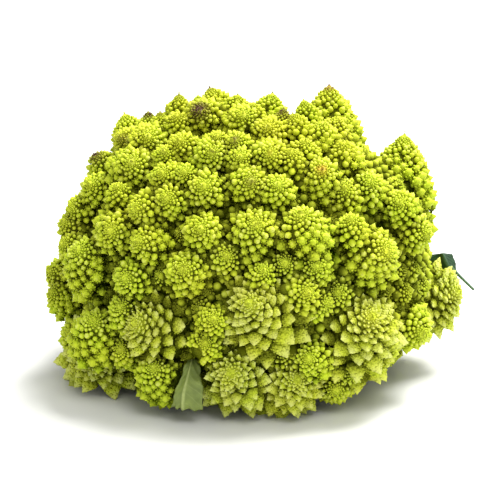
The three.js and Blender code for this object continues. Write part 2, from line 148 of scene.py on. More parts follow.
# %% Table of the seen florets
SEEN_FLORETS = [
    # along the top edge, left to right
    ((124, 112), (132, 142), 14),
    ((148, 110), (150, 132), 9),
    ((160, 110), (161, 134), 9),
    ((179, 92), (180, 125), 13),
    ((198, 94), (199, 114), 8),
    ((209, 86), (218, 113), 14),
    ((238, 93), (235, 120), 14),
    ((253, 101), (254, 122), 9),
    ((273, 91), (267, 126), 16),
    ((284, 107), (281, 130), 9),
    ((303, 98), (309, 124), 10),
    ((292, 112), (300, 134), 10),
    ((329, 82), (332, 150), 27),
    ((405, 131), (398, 206), 31),
    # the crown
    ((322, 119), (322, 148), 15),
    ((343, 139), (346, 168), 16),
    ((306, 138), (304, 160), 13),
    ((118, 136), (131, 143), 12),
    ((148, 134), (148, 147), 18),
    ((199, 108), (206, 121), 18),
    ((176, 113), (178, 127), 10),
    ((243, 112), (243, 126), 16),
    ((234, 138), (238, 147), 11),
    ((217, 134), (217, 144), 9),
    ((268, 124), (270, 138), 16),
    ((270, 151), (270, 162), 18),
    ((291, 148), (292, 166), 11),
    ((240, 155), (240, 162), 11),
    ((212, 150), (213, 161), 19),
    ((178, 138), (184, 152), 14),
    ((163, 149), (165, 160), 10),
    ((131, 160), (135, 175), 24),
    ((93, 153), (106, 171), 13),
    ((88, 182), (101, 192), 15),
    ((117, 183), (119, 198), 10),
    ((161, 171), (167, 180), 13),
    ((184, 170), (185, 177), 9),
    ((203, 184), (208, 194), 19),
    ((252, 180), (246, 187), 19),
    ((278, 182), (276, 195), 15),
    ((323, 167), (320, 187), 22),
    ((372, 178), (366, 194), 16),
    ((345, 185), (345, 203), 21, 4),
    # the face
    ((165, 196), (175, 204), 18),
    ((131, 209), (152, 209), 16),
    ((108, 230), (122, 232), 23),
    ((200, 227), (204, 233), 16),
    ((134, 240), (157, 245), 19),
    ((256, 222), (254, 239), 27),
    ((301, 210), (305, 243), 26),
    ((350, 215), (352, 233), 12),
    ((226, 255), (228, 262), 17, 5),
    ((285, 262), (286, 268), 16, 5),
    ((317, 266), (314, 270), 15, 2),
    ((122, 278), (138, 279), 18),
    ((182, 268), (190, 273), 20),
    ((248, 302), (264, 312), 42),
    ((214, 318), (212, 322), 12),
    ((205, 342), (204, 347), 13),
    ((264, 268), (262, 280), 12, 3),
    ((310, 292), (300, 295), 16),
    ((331, 303), (316, 305), 12, 4),
    ((338, 292), (338, 297), 15, 8),
    ((286, 352), (286, 358), 15, 9),
    # the right flank
    ((400, 200), (402, 211), 15),
    ((431, 235), (408, 232), 17),
    ((391, 250), (358, 261), 36),
    ((462, 291), (420, 299), 33),
    # the left flank
    ((66, 208), (88, 212), 15),
    ((61, 219), (79, 231), 15),
    ((76, 246), (95, 270), 26),
    ((59, 243), (79, 250), 14),
    ((46, 269), (69, 278), 16),
    ((48, 291), (72, 302), 18),
    ((93, 317), (95, 340), 21),
    # the skirt
    ((94, 358), (104, 355), 37),
    ((66, 333), (84, 340), 18),
    ((118, 305), (129, 315), 16, 3),
    ((119, 349), (126, 351), 14, 4),
    ((131, 323), (166, 328), 35),
    ((153, 366), (161, 380), 20),
    ((230, 374), (239, 372), 35),
    ((298, 379), (290, 382), 26),
    ((308, 358), (313, 362), 16),
    ((374, 315), (355, 336), 39),
    ((425, 336), (406, 325), 20),
    ((388, 357), (376, 347), 17),
    ((357, 378), (346, 363), 18),
    ((336, 393), (334, 378), 20),
]


def whole_width(shown):
    """Shown width times (1.25 - 0.006 of itself): neighbours cover more of a small floret."""
    return shown * (1.25 - 0.006 * shown)


def usual_length(shown):
    """Shown width times (1.08 - 0.01 of itself): a small floret is as long as wide, a large one less."""
    return shown * (1.08 - 0.01 * shown)


def read_floret(tip, base, wide, sunk=0.0):
    """The axis matches the picture across and up; the rest of its length comes towards the eye."""
    across = (tip[0] - base[0]) * MM_PER_PIXEL
    rise = (base[1] - tip[1]) * MM_PER_PIXEL
    in_picture = math.hypot(across, rise)
    tall = max(usual_length(wide), in_picture * 1.02)
    forward = math.sqrt(tall**2 - in_picture**2)
    axis = unit(across * RIGHT + rise * UP + forward * BACK)
    start = skin_at_pixel(*tip) - sunk * BACK
    return {"tip": start, "axis": axis, "wide": whole_width(wide), "tall": tall}


seen_florets = [read_floret(*row) for row in SEEN_FLORETS]
print("florets read from the picture:", len(seen_florets))

# %% [markdown]
# ## The florets on the hidden side
#
# The far side follows the plant's own rule: each new floret sits a golden angle, about 137.5 degrees,
# further round than the last, small at the crown and large at the skirt. The draws that vary them come
# from the same small seeded generator as in the part's source, so both grow the very same florets.

# %% Hidden florets by the golden angle
GOLDEN_ANGLE = math.pi * (3 - math.sqrt(5))
CROWN_FLORET = 13.0
SKIRT_FLORET = 34.0
LOWEST_FLORET = math.radians(113)
FLORET_PACKING = 0.8
HIDDEN_SHARE = 0.95
HEAD_REACH = 86.0
NOTCHES = [  # pixel of the middle, reach in pixels, depth in millimetres
    ((368, 140), 36, 19.0),
    ((440, 240), 34, 17.0),
    ((291, 104), 20, 5.0),
]


def seeded_draw(seed):
    """Add a constant, multiply and shift the 32 bits twice, and divide by 2 to the 32."""
    state = [seed]

    def draw():
        state[0] = (state[0] + 0x6D2B79F5) & 0xFFFFFFFF
        mixed = state[0]
        mixed = ((mixed ^ (mixed >> 15)) * (1 | mixed)) & 0xFFFFFFFF
        mixed = ((mixed + (((mixed ^ (mixed >> 7)) * (61 | mixed)) & 0xFFFFFFFF)) & 0xFFFFFFFF) ^ mixed
        return ((mixed ^ (mixed >> 14)) & 0xFFFFFFFF) / 4294967296

    return draw


def hidden_florets(seen):
    """Tip = skin at a fall from the crown and turn times the golden angle; kept where it faces away."""
    draw = seeded_draw(7)
    found = []
    fall = math.radians(9)
    turn = 0
    while fall < LOWEST_FLORET:
        wide = CROWN_FLORET + (SKIRT_FLORET - CROWN_FLORET) * (fall / LOWEST_FLORET) ** 1.2
        around = turn * GOLDEN_ANGLE
        level = math.cos(fall)
        tip = np.array([
            HIDDEN_SHARE * HALF_WIDTH * math.sin(fall) * math.cos(around),
            HIDDEN_SHARE * HALF_DEPTH * math.sin(fall) * math.sin(around),
            WIDEST_AT + HIDDEN_SHARE * (CROWN_RISE if level > 0 else SKIRT_DROP) * level,
        ])
        axis = unit(tip - HEART)
        axis = unit(axis + 0.3 * np.array([draw() - 0.5, draw() - 0.5, draw() - 0.5]))
        size = wide * (0.85 + 0.35 * draw())
        at = pixel_of(tip)
        deeper = [deep for middle, reach, deep in NOTCHES if math.dist(at, middle) < reach]
        tip = tip + axis * (-3 * draw() - (deeper[0] if deeper else 0.0))
        clear = all(np.linalg.norm(other["tip"] - tip) > 0.36 * (other["wide"] + size) for other in seen)
        if axis @ BACK < 0.12 and clear:
            tall = usual_length(size) * (1 + 0.3 * draw())
            found.append({"tip": tip, "axis": axis, "wide": whole_width(size), "tall": tall})
        fall += FLORET_PACKING * wide**2 / (2 * math.pi * HEAD_REACH**2 * math.sin(fall))
        turn += 1
    return found


florets = seen_florets + hidden_florets(seen_florets)
print("florets in all:", len(florets))

# %% [markdown]
# ## Small florets in the gaps
#
# Between these florets the plant pushes up many small ones that never had room to grow. They could be left
# as dark gaps, but the picture shows pale beads deep in every cleft. So a golden spiral of places over the
# whole head is tried, and a small floret grows wherever no larger one already stands.

# %% Small florets in the gaps
GAP_TRIES = 1500
GAP_SHARE = 0.885
LOWEST_GAP_TIP = 7.0
NOTCH_SINK = 0.03


def golden_spots(count, share):
    """Level falls evenly from 1 to -1, turn grows by the golden angle, on the skin shrunk to a share."""
    k = np.arange(count)
    level = 1 - 2 * (k + 0.5) / count
    ring = np.sqrt(1 - level**2)
    turn = k * GOLDEN_ANGLE
    return np.stack([
        share * HALF_WIDTH * ring * np.cos(turn),
        share * HALF_DEPTH * ring * np.sin(turn),
        WIDEST_AT + share * level * np.where(level > 0, CROWN_RISE, SKIRT_DROP),
    ], axis=1)


def gap_florets(standing):
    """Golden spots on the shrunken skin, kept where the nearest floret is far enough away."""
    draws = np.random.default_rng(11)
    tips = golden_spots(GAP_TRIES, GAP_SHARE + draws.uniform(-0.03, 0.015, GAP_TRIES))
    wide = draws.uniform(8.5, 13, GAP_TRIES)
    lean = draws.normal(0, 0.22, (GAP_TRIES, 3))
    found = []
    taken = [(f["tip"] - 0.45 * f["tall"] * f["axis"], 0.40 * f["wide"]) for f in standing]
    for tip, size, tilt in zip(tips, wide, lean):
        if tip[2] < LOWEST_GAP_TIP:
            continue
        axis = unit(unit(tip - HEART) + tilt)
        in_notch = any(math.dist(pixel_of(tip), middle) < reach for middle, reach, _ in NOTCHES)
        if in_notch and abs(axis @ BACK) < 0.45:
            tip = HEART + (1 - NOTCH_SINK) * (tip - HEART)
        middle = tip - 0.3 * size * axis
        if all(np.linalg.norm(middle - spot) > reach + 0.36 * size for spot, reach in taken):
            taken.append((middle, 0.42 * size))
            found.append({"tip": tip, "axis": axis, "wide": size, "tall": 0.75 * size})
    return found


small_florets = gap_florets(florets)
all_florets = florets + small_florets
print("small florets in the gaps:", len(small_florets))

# %% [markdown]
# ## How buds sit on a floret
#
# Seen from the side a floret is a cone that rounds over into a belly. Its buds lie on one spiral: each bud
# is a golden angle further round and a fixed ratio nearer the tip, so they shrink towards the tip and still
# pack closely everywhere. Placing each bud by hand could never look this even, and a random scatter never
# this ordered. The large florets low on the head bear scales that lean down and outwards, the others beads
# and clumps.

# %% The flank of a floret and the spiral of its buds
BODY_SHARE = 0.86
CONE = 1.2
LOWEST_BUD = 1.6
BUD_LEAN = 0.2
SCALE_LEAN = -0.4
SCALY_FROM = 24.5
SCALY_BELOW = 66.0
BEAD, CLUMP, SCALE = 0, 1, 2
CLUMP_SHARE = 0.34
ALL_CLUMPS_FROM = 3.3
rng = np.random.default_rng(21)


def flank(reach, radius, tall):
    """out = radius sin(a)^cone, drop = tall (0.6 reach + 0.4 (1 - cos a)); a = reach quarter turns."""
    quarter = math.pi / 2 * reach
    out = radius * np.sin(quarter) ** CONE
    drop = tall * (0.6 * reach + 0.4 * (1 - np.cos(quarter)))
    out_per = radius * CONE * np.sin(quarter) ** (CONE - 1) * math.pi / 2 * np.cos(quarter)
    drop_per = tall * (0.6 + 0.2 * math.pi * np.sin(quarter))
    return out, drop, out_per, drop_per


def frame_of(axis):
    """Two directions square to the axis and to each other."""
    side = unit(np.cross([1.0, 0.0, 0.0] if abs(axis[0]) < 0.9 else [0.0, 1.0, 0.0], axis))
    return side, np.cross(axis, side)


def spiral(radius, tall, share, highest):
    """reach = lowest e^(-k c), with c chosen so that a bud at the belly is share of the radius wide."""
    closeness = share**2 * radius / (1.23 * 2 * math.pi * tall)
    count = int(math.log(LOWEST_BUD / highest) / closeness)
    reach = LOWEST_BUD * np.exp(-closeness * np.arange(count))
    out, drop, out_per, drop_per = flank(reach, radius, tall)
    slope = np.hypot(out_per, drop_per)
    width = np.sqrt(2 * math.pi * out * slope * reach * closeness)
    return reach, out, drop, np.stack([drop_per, out_per], axis=1) / slope[:, None], width


def buds_of(floret, index):
    """Foot, direction, width and place of every bud of one floret; the last is the pointed tip."""
    wide = floret["wide"]
    scaly = wide > SCALY_FROM and floret["tip"][2] < SCALY_BELOW
    if scaly:
        share = np.interp(wide, [26, 42], [0.54, 0.46])
    else:
        share = np.interp(wide, [10, 24, 40], [0.57, 0.50, 0.42])
    highest = np.interp(wide, [10, 34], [0.17, 0.10])
    reach, out, drop, normal, width = spiral(wide / 2 * BODY_SHARE, floret["tall"], share, highest)
    count = len(reach)
    turn = (np.arange(count) + 3 * index) * GOLDEN_ANGLE + rng.normal(0, 0.06, count)
    side, ahead = frame_of(floret["axis"])
    outward = np.cos(turn)[:, None] * side + np.sin(turn)[:, None] * ahead
    foot = floret["tip"] + out[:, None] * outward - drop[:, None] * floret["axis"]
    towards_tip = SCALE_LEAN if scaly else BUD_LEAN
    lean = normal[:, :1] * outward + (normal[:, 1:] + towards_tip) * floret["axis"]
    lean = unit(unit(lean) + rng.normal(0, 0.14, lean.shape))
    foot = foot + (rng.normal(0, 0.08, count) * width)[:, None] * lean
    width = width * rng.normal(1, 0.13, count).clip(0.72, 1.3)
    drawn = np.where((rng.uniform(size=count) < CLUMP_SHARE) | (width > ALL_CLUMPS_FROM), CLUMP, BEAD)
    return {
        "foot": np.vstack([foot, floret["tip"] - 0.6 * width[-1] * floret["axis"]]),
        "lean": np.vstack([lean, floret["axis"]]),
        "across": np.vstack([np.cross(floret["axis"], outward), side]),
        "width": np.append(width, 1.4 * width[-1]),
        "reach": np.append(reach, 0.0),
        "floret": np.full(count + 1, index),
        "kind": np.append(np.full(count, SCALE) if scaly else drawn, BEAD),
    }


parts = [buds_of(floret, index) for index, floret in enumerate(all_florets)]
buds = {key: np.concatenate([part[key] for part in parts]) for key in parts[0]}
print("buds on all florets:", len(buds["foot"]))

# %% [markdown]
# ## Where the two leaves lie
#
# A torn scrap of an inner leaf is caught at the front, and a small dark one with its stalk at the right.
# The part holds each as a bent plate, whose rows are joined here by smooth curves. Both have to be known
# before the buds are chosen, because no bud grows through a leaf.

# %% Sheets of the leaves
FRONT_LEAF_ROWS = [  # left side, middle and right side: pixel across, pixel down, millimetres forward
    ((191, 346, 30), (195, 346, 31), (199, 346, 30)),
    ((188, 359, 50), (192, 359, 51), (199, 359, 50)),
    ((181, 378, 54), (187, 378, 55.5), (201, 378, 54)),
    ((174, 394, 56), (183, 394, 57.5), (203, 394, 56)),
    ((172, 408, 54), (182, 409, 56), (202, 410, 54.5)),
]
SIDE_LEAF_ROWS = [
    ((429, 255, -24), (443, 253, -16), (452, 254, -18)),
    ((416, 263, -26), (447, 261, -15), (455, 262, -18)),
    ((422, 271, -25), (451, 270, -15), (457, 272, -18)),
    ((440, 279, -21), (454, 279, -16), (458, 283, -18)),
]
SIDE_STALK = ((450, 266, -15.5), (474, 290, -13))


def smooth_rows(rows, along, across):
    """Rows joined by cubic curves along and by straight halves across, at evenly spaced shares."""
    points = np.array([[point_in_view(*p) for p in row] for row in rows])
    share = np.linspace(0, len(rows) - 1, along)
    cell = np.minimum(share.astype(int), len(rows) - 2)
    t = (share - cell)[:, None, None]
    before, start = points[np.maximum(cell - 1, 0)], points[cell]
    end, beyond = points[cell + 1], points[np.minimum(cell + 2, len(rows) - 1)]
    ease_in = (end - before) / 2
    ease_out = (beyond - start) / 2
    curve = (2 * t**3 - 3 * t**2 + 1) * start + (t**3 - 2 * t**2 + t) * ease_in
    curve = curve + (3 * t**2 - 2 * t**3) * end + (t**3 - t**2) * ease_out
    side = np.linspace(-1, 1, across)
    left = np.clip(-side, 0, 1)[None, :, None]
    right = np.clip(side, 0, 1)[None, :, None]
    return left * curve[:, :1] + (1 - left - right) * curve[:, 1:2] + right * curve[:, 2:], side


leaf_sheets = []
for leaf_rows in (FRONT_LEAF_ROWS, SIDE_LEAF_ROWS):
    leaf_sheets.append(smooth_rows(leaf_rows, 24, 13)[0].reshape(-1, 3))
for sheet in leaf_sheets:
    print("leaf, mm:", sheet.min(0).round(1), "to", sheet.max(0).round(1))

# %% [markdown]
# ## Leaving out what can't be seen
#
# Florets crowd into each other, so many buds end up inside a neighbour. A bud whose top is within another
# floret's body, deep in the mound or under the table is left out, which halves the work for the same
# picture. So is a bud where a leaf lies: the leaf at the front lies on its florets and has pressed all the
# buds before it aside, and the one at the right sticks out between two, so that buds still stand before it.

# %% Keep only the buds that show
MOUND_SHARE = 0.82
CLEARED_BEFORE_LEAF = (99.0, 0.6)  # for the leaf at the front and the one at the right
FAR_OUTSIDE = -99.0


def body_cover(points, floret):
    """How far inside a floret's body: its radius there less the distance from its axis."""
    away = points - floret["tip"]
    drop = -away @ floret["axis"]
    out = np.linalg.norm(away + drop[:, None] * floret["axis"], axis=1)
    radius = floret["wide"] / 2 * BODY_SHARE
    down = np.clip(drop / floret["tall"], 0, None)
    shape = np.sin(math.pi / 2 * np.minimum(1, down**0.85)) ** CONE
    shape = shape * np.interp(down, [1.0, 1.475, 2.2, 2.3], [1.0, 0.83, 0.45, 0.0])
    return np.where(drop > 0, radius * shape - out, FAR_OUTSIDE)


def cover_of(buds):
    """How far each bud's top lies inside another floret's body; below zero it is that far outside."""
    top = buds["foot"] + 0.5 * buds["width"][:, None] * buds["lean"]
    cover = np.full(len(top), FAR_OUTSIDE)
    for index, floret in enumerate(all_florets):
        near = np.linalg.norm(top - floret["tip"], axis=1) < floret["tall"] * 2 + floret["wide"]
        near = np.flatnonzero(near & (buds["floret"] != index))
        cover[near] = np.maximum(cover[near], body_cover(top[near], floret))
    return cover


def pressed_aside(points, width):
    """Beside a leaf's sheet by less than its width, not well behind it and not too far before it."""
    aside = np.zeros(len(points), bool)
    for sheet, most_before in zip(leaf_sheets, CLEARED_BEFORE_LEAF):
        near = np.flatnonzero(np.linalg.norm(points - sheet.mean(0), axis=1) < 30)
        away = points[near, None] - sheet[None]
        ahead = away @ BACK
        beside = np.linalg.norm(away - ahead[..., None] * BACK, axis=2)
        half = 0.5 * width[near, None]
        level = (ahead > -half - 0.6) & (ahead < half + most_before)
        aside[near] |= (level & (beside < 0.6 * half + 1.0)).any(1)
    return aside


def shows(buds):
    """True where a bud's top lies in no other floret or leaf, outside the mound and above the table."""
    top = buds["foot"] + 0.5 * buds["width"][:, None] * buds["lean"]
    in_mound = (depth_in_head(top) < MOUND_SHARE - 0.02) & (top[:, 2] > UNDERSIDE)
    in_the_open = (buds["cover"] < 0.25 * buds["width"]) & ~in_mound & (top[:, 2] > 1.0)
    return in_the_open & ~pressed_aside(top, buds["width"])


buds["cover"] = cover_of(buds)
kept = shows(buds)
buds = {key: values[kept] for key, values in buds.items()}
buds["kind"] = np.where(buds["cover"] > 0, BEAD, buds["kind"])
print("buds that show:", len(buds["foot"]))
for low, high in ((0, 1), (1, 1.6), (1.6, 2.4), (2.4, 3.4), (3.4, 5), (5, 9)):
    inside = (buds["width"] >= low) & (buds["width"] < high)
    counts = np.bincount(buds["kind"][inside], minlength=3)
    print("width", low, "to", high, "mm:", counts, "beads, clumps, scales")

# %% [markdown]
# ## Three kinds of bud
#
# A young bud is a smooth bead that comes to a soft point. A larger one has had time to start again and is a
# clump: a little dome, covered in grains on the same spiral. On the large low florets the buds have opened
# into pointed scales. All three are turned shapes, a profile carried round an axis, and the smaller a bud
# is, the fewer sides and grains it gets, because thousands of them share the head.

# %% Bud shapes, one millimetre wide
def turned(profile, bottom, top, sides):
    """Rings of r (cos, sin) at each (r, height) of the profile, closed by a point below and one above."""
    angle = 2 * math.pi * np.arange(sides) / sides
    spokes = np.stack([np.cos(angle), np.sin(angle), np.zeros(sides)], axis=1)
    rings = [r * spokes + [0, 0, h] for r, h in profile]
    points = np.concatenate([[[0, 0, bottom]], *rings, [[0, 0, top]]])
    around = np.arange(sides)
    after = (around + 1) % sides
    faces = [np.stack([np.zeros(sides, int), 1 + after, 1 + around], axis=1)]
    for ring in range(len(profile) - 1):
        a = 1 + ring * sides
        b = a + sides
        faces.append(np.stack([a + around, a + after, b + after], axis=1))
        faces.append(np.stack([a + around, b + after, b + around], axis=1))
    last = 1 + (len(profile) - 1) * sides
    faces.append(np.stack([last + around, last + after, np.full(sides, len(points) - 1)], axis=1))
    return points, np.concatenate(faces)


def placed(shape, feet, directions, sizes, across=None):
    """Copies of a shape: foot + size times the shape, its height along the direction, x along across."""
    points, faces = shape
    if across is None:
        across = np.where(np.abs(directions[:, :1]) < 0.9, [[1.0, 0.0, 0.0]], [[0.0, 1.0, 0.0]])
    ahead = unit(np.cross(directions, across))
    side = np.cross(ahead, directions)
    turns = np.stack([side, ahead, directions], axis=2)
    moved = np.einsum("bij,nj->bni", turns, points) * np.reshape(sizes, (-1, 1, 1)) + feet[:, None, :]
    first = np.arange(len(feet))[:, None, None] * len(points)
    return moved.reshape(-1, 3), (faces[None] + first).reshape(-1, 3)


def grainy_shape(grains, sides, tall, belly, stand=0.42, bare=0.0, corners=4):
    """A cone (belly 1) or dome (belly less), with grains at reach = the square root of the way down it."""
    profile = [(0.40, -0.14)] + [(0.5 * r**belly, tall * (1 - r)) for r in (1.0, 0.5)]
    body = turned(profile, -0.3, tall, sides)
    share = bare + (1.12 - bare) * (np.arange(grains) + 1.0) / grains
    reach = np.sqrt(share)
    turn = np.arange(grains) * GOLDEN_ANGLE
    outward = np.stack([np.cos(turn), np.sin(turn), np.zeros(grains)], axis=1)
    feet = (0.5 * reach**belly)[:, None] * outward + (tall * (1 - reach))[:, None] * [0, 0, 1]
    leans = unit(tall * outward + (0.5 * belly + 0.2) * np.array([0, 0, 1]))
    size = 1.2 * math.sqrt((1 - bare) * math.pi * 0.5 * math.hypot(tall, 0.5) / grains)
    grain = turned([(0.5, 0.0)], -0.15, stand, corners)
    points, faces = placed(grain, feet, leans, np.full(grains, size))
    return np.concatenate([body[0], points]), np.concatenate([body[1], faces + len(body[0])])


BEADS = [
    (0.0, turned([(0.50, 0.08)], -0.3, 0.68, 5)),
    (1.5, turned([(0.50, 0.06), (0.36, 0.47)], -0.3, 0.82, 5)),
    (1.9, turned([(0.50, 0.06), (0.36, 0.49)], -0.3, 0.86, 6)),
    (2.6, turned([(0.44, -0.12), (0.51, 0.20), (0.32, 0.60)], -0.3, 0.90, 7)),
]
CLUMPED = [
    *BEADS[:3],
    (2.5, grainy_shape(8, 6, 0.72, 0.66, 0.40, 0.25)),
    (3.3, grainy_shape(12, 7, 0.74, 0.66, 0.40, 0.25)),
    (4.8, grainy_shape(17, 8, 0.76, 0.66, 0.36, 0.20, 5)),
]


def scale_shape(sides, rings, grains=0, corners=4):
    """Half width 0.56 (1 - t^1.5) at height 0.95 t, with grains; then 0.62 as thick and bent by 0.22 t^2."""
    t = np.linspace(0.06, 0.86, rings)
    profile = [(0.44, -0.16), *zip(0.56 * (1 - t**1.5), t * 0.95)]
    points, faces = turned(profile, -0.32, 0.95, sides)
    if grains:
        t = 1 - np.sqrt((np.arange(grains) + 1.6) / grains).clip(0, 1)
        turn = np.arange(grains) * GOLDEN_ANGLE
        outward = np.stack([np.cos(turn), np.sin(turn), np.zeros(grains)], axis=1)
        feet = (0.56 * (1 - t**1.5))[:, None] * outward + (0.95 * t)[:, None] * [0, 0, 1]
        leans = unit(outward + (0.88 * np.sqrt(t))[:, None] * np.array([0, 0, 1]))
        sizes = 1.5 / math.sqrt(grains) * np.interp(t, [0, 1], [1.0, 0.7])
        more_points, more_faces = placed(turned([(0.5, 0.0)], -0.15, 0.2, corners), feet, leans, sizes)
        faces = np.concatenate([faces, more_faces + len(points)])
        points = np.concatenate([points, more_points])
    height = np.clip(points[:, 2] / 0.95, 0, 1)
    return np.stack([points[:, 0], 0.62 * points[:, 1] + 0.22 * height**2, points[:, 2]], axis=1), faces


SCALES = [
    (0.0, scale_shape(5, 1)),
    (1.5, scale_shape(6, 2)),
    (2.5, scale_shape(8, 2, 10)),
    (3.5, scale_shape(9, 3, 18)),
    (5.0, scale_shape(10, 4, 34, 5)),
]
for name, shapes in (("bead", BEADS), ("clump", CLUMPED), ("scale", SCALES)):
    print(name, "faces by size:", [(low, len(shape[1])) for low, shape in shapes])

# %% [markdown]
# ## The bodies under the buds
#
# Under its buds each floret has a plain fleshy body, and all the bodies stand on one mound. They fill the
# clefts, so no light leaks through. A body follows the same flank as the buds and then narrows like a
# branch. Where the mound itself is open to view, beads stand on it too.

# %% Bodies of the florets, and the mound
def body_shape(floret, sides=10):
    """Rings of the flank at a few reaches, then two more where the branch narrows below."""
    radius = floret["wide"] / 2 * BODY_SHARE * 0.95
    reach = np.array([0.2, 0.45, 0.7, 1.0, 1.4])
    out, drop, _, _ = flank(reach, radius, floret["tall"])
    profile = [(radius * 0.45, -2.2 * floret["tall"])]
    profile += [(r, -d) for r, d in zip(out[::-1], drop[::-1])]
    return turned(profile, -2.3 * floret["tall"], -0.02 * floret["tall"], sides)


MOUND_SIDES = 56
MOUND_RINGS = 28
MOUND_BEADS = 2600


def mound_surface():
    """depth = mound share all round, as a ball's rings and sides, flat at the underside's height."""
    fall = np.linspace(0, math.pi, MOUND_RINGS + 2)[1:-1]
    k = np.arange(MOUND_SIDES)
    around = k * 2 * math.pi / MOUND_SIDES
    level = np.cos(fall)[:, None] + 0 * around
    ring = np.sin(fall)[:, None]
    x = MOUND_SHARE * HALF_WIDTH * ring * np.cos(around)
    y = MOUND_SHARE * HALF_DEPTH * ring * np.sin(around)
    z = WIDEST_AT + MOUND_SHARE * level * np.where(level > 0, CROWN_RISE, SKIRT_DROP)
    points = np.stack([x, y, np.maximum(z, UNDERSIDE)], axis=-1).reshape(-1, 3)
    top = WIDEST_AT + MOUND_SHARE * CROWN_RISE
    points = np.concatenate([[[0, 0, top]], points, [[0, 0, UNDERSIDE]]])
    after = (k + 1) % MOUND_SIDES
    faces = [np.stack([0 * k, 1 + k, 1 + after], axis=1)]
    for ring_at in range(MOUND_RINGS - 1):
        a = 1 + ring_at * MOUND_SIDES
        b = a + MOUND_SIDES
        faces.append(np.stack([a + k, b + k, b + after], axis=1))
        faces.append(np.stack([a + k, b + after, a + after], axis=1))
    last = 1 + (MOUND_RINGS - 1) * MOUND_SIDES
    faces.append(np.stack([last + k, 0 * k + len(points) - 1, last + after], axis=1))
    return points, np.concatenate(faces)


def mound_beads():
    """Golden spots on the mound, kept as beads where no floret's body covers them."""
    spot = golden_spots(MOUND_BEADS, MOUND_SHARE)
    spot = spot[spot[:, 2] > UNDERSIDE - 6]
    lean = unit(unit(spot - HEART) + rng.normal(0, 0.15, spot.shape))
    width = rng.uniform(3.4, 5.0, len(spot))
    covered = np.zeros(len(spot), bool)
    for floret in all_florets:
        covered |= body_cover(spot + 0.5 * width[:, None] * lean, floret) > 0.3 * width
    clear = ~covered
    count = clear.sum()
    return {
        "foot": spot[clear],
        "lean": lean[clear],
        "width": width[clear],
        "across": np.cross(lean, [0.6, 0.0, 0.8])[clear],
        "reach": np.full(count, 0.9),
        "floret": np.full(count, -1),
        "kind": np.where(rng.uniform(size=count) < 0.12, CLUMP, BEAD),
    }


between = mound_beads()
between["cover"] = cover_of(between)
buds = {key: np.concatenate([buds[key], between[key]]) for key in buds}
print("beads on the open mound:", len(between["foot"]))

# %% [markdown]
# ## How sunk each spot is
#
# The material paints shade into the clefts, a deeper green than on the crests, so it has to know what a cleft
# is. That can be measured: a spot lies sunk when the buds around it stand further from the heart than it
# does.
# A bud on the side of a floret has as many higher neighbours as lower ones, and counts as neither.

# %% Height against the neighbours
SURROUNDINGS = 12.0
AT_ONCE = 1000
bud_tops = (buds["foot"] + 0.5 * buds["width"][:, None] * buds["lean"]).astype(np.float32)
bud_sizes = (buds["width"] ** 2).astype(np.float32)


def sunk_below(points):
    """The mean distance outwards from each point to the bud tops around it, weighted by the buds' area."""
    points = points.astype(np.float32)
    outward = unit(points - HEART.astype(np.float32))
    sunk = np.zeros(len(points), np.float32)
    for start in range(0, len(points), AT_ONCE):
        spot = points[start:start + AT_ONCE]
        up = outward[start:start + AT_ONCE]
        apart = (spot**2).sum(1)[:, None] + (bud_tops**2).sum(1)[None] - 2 * spot @ bud_tops.T
        weight = np.clip(1 - apart / SURROUNDINGS**2, 0, 1) * bud_sizes
        above = up @ bud_tops.T - (up * spot).sum(1)[:, None]
        sunk[start:start + AT_ONCE] = (weight * above).sum(1) / (weight.sum(1) + 1e-6)
    return sunk


buds["sunk"] = sunk_below(bud_tops)
print("sunk, mm, at 5, 25, 50, 75, 95 %:", np.percentile(buds["sunk"], [5, 25, 50, 75, 95]).round(2))

# %% [markdown]
# ## What the material needs to know
#
# Colour on a romanesco follows growth: the youngest flesh, at the tips of florets and of buds, is palest and
# yellowest, where the pale bud tops are partly painted highlight. The clefts, the feet of the buds and the
# low flanks are painted dark green as painted shade. A few tips are bruised brown. None of that can come from
# a flat pattern in space, so each vertex carries marks along:
#
# - crest, how high it is on its bud, and reach, how far its bud is from the floret's tip
# - shade, drawn for its bud, and tint, drawn for its floret
# - crowd, how near its bud is to another floret, and sunk, how deep it lies among the buds around it, both
#   for painted shade
# - pale and fine, for scales, whose flesh is paler and finely grained
# - bare, for bodies and the mound, which have no buds of their own
# - bruise and amber, how stained it is, and outer, how near it is to the skin of the head, which the painted
#   shade also uses

# %% Stains, each with its pixel of the picture, its radius in millimetres and its strength
BRUISES = [
    ((197, 107), 6.5, 1.0),
    ((93, 153), 5.2, 0.9),
    ((148, 110), 4.5, 1.0),
    ((160, 110), 3.2, 0.7),
    ((119, 138), 5.5, 0.8),
    ((284, 107), 5.0, 1.0),
    ((234, 138), 4.0, 0.6),
    ((252, 181), 4.2, 0.6),
    ((213, 150), 3.0, 0.5),
    ((209, 86), 2.8, 0.8),
    ((329, 82), 3.8, 1.0),
    ((345, 185), 2.8, 0.5),
    ((178, 93), 3.0, 0.5),
    ((131, 160), 3.0, 0.45),
    ((163, 150), 2.8, 0.4),
]
AMBER_FLECKS = [
    ((330, 85), 3.4, 0.8),
    ((322, 166), 3.6, 0.8),
    ((316, 172), 2.4, 0.6),
    ((347, 160), 2.2, 0.5),
    ((400, 150), 2.0, 0.6),
    ((432, 290), 2.0, 0.7),
    ((446, 300), 2.0, 0.7),
    ((372, 252), 2.4, 0.5),
    ((238, 96), 2.4, 0.5),
    ((212, 92), 3.0, 0.5),
    ((273, 94), 2.0, 0.4),
    ((303, 100), 2.0, 0.5),
    ((96, 157), 3.0, 0.5),
    ((270, 152), 2.0, 0.4),
]


def spots_of(rows):
    """Each pixel's place on the skin, with its radius and strength."""
    return [(skin_at_pixel(*pixel), radius, strength) for pixel, radius, strength in rows]


bruise_spots = spots_of(BRUISES)
amber_spots = spots_of(AMBER_FLECKS)
print("stains:", len(bruise_spots), "brown,", len(amber_spots), "amber")


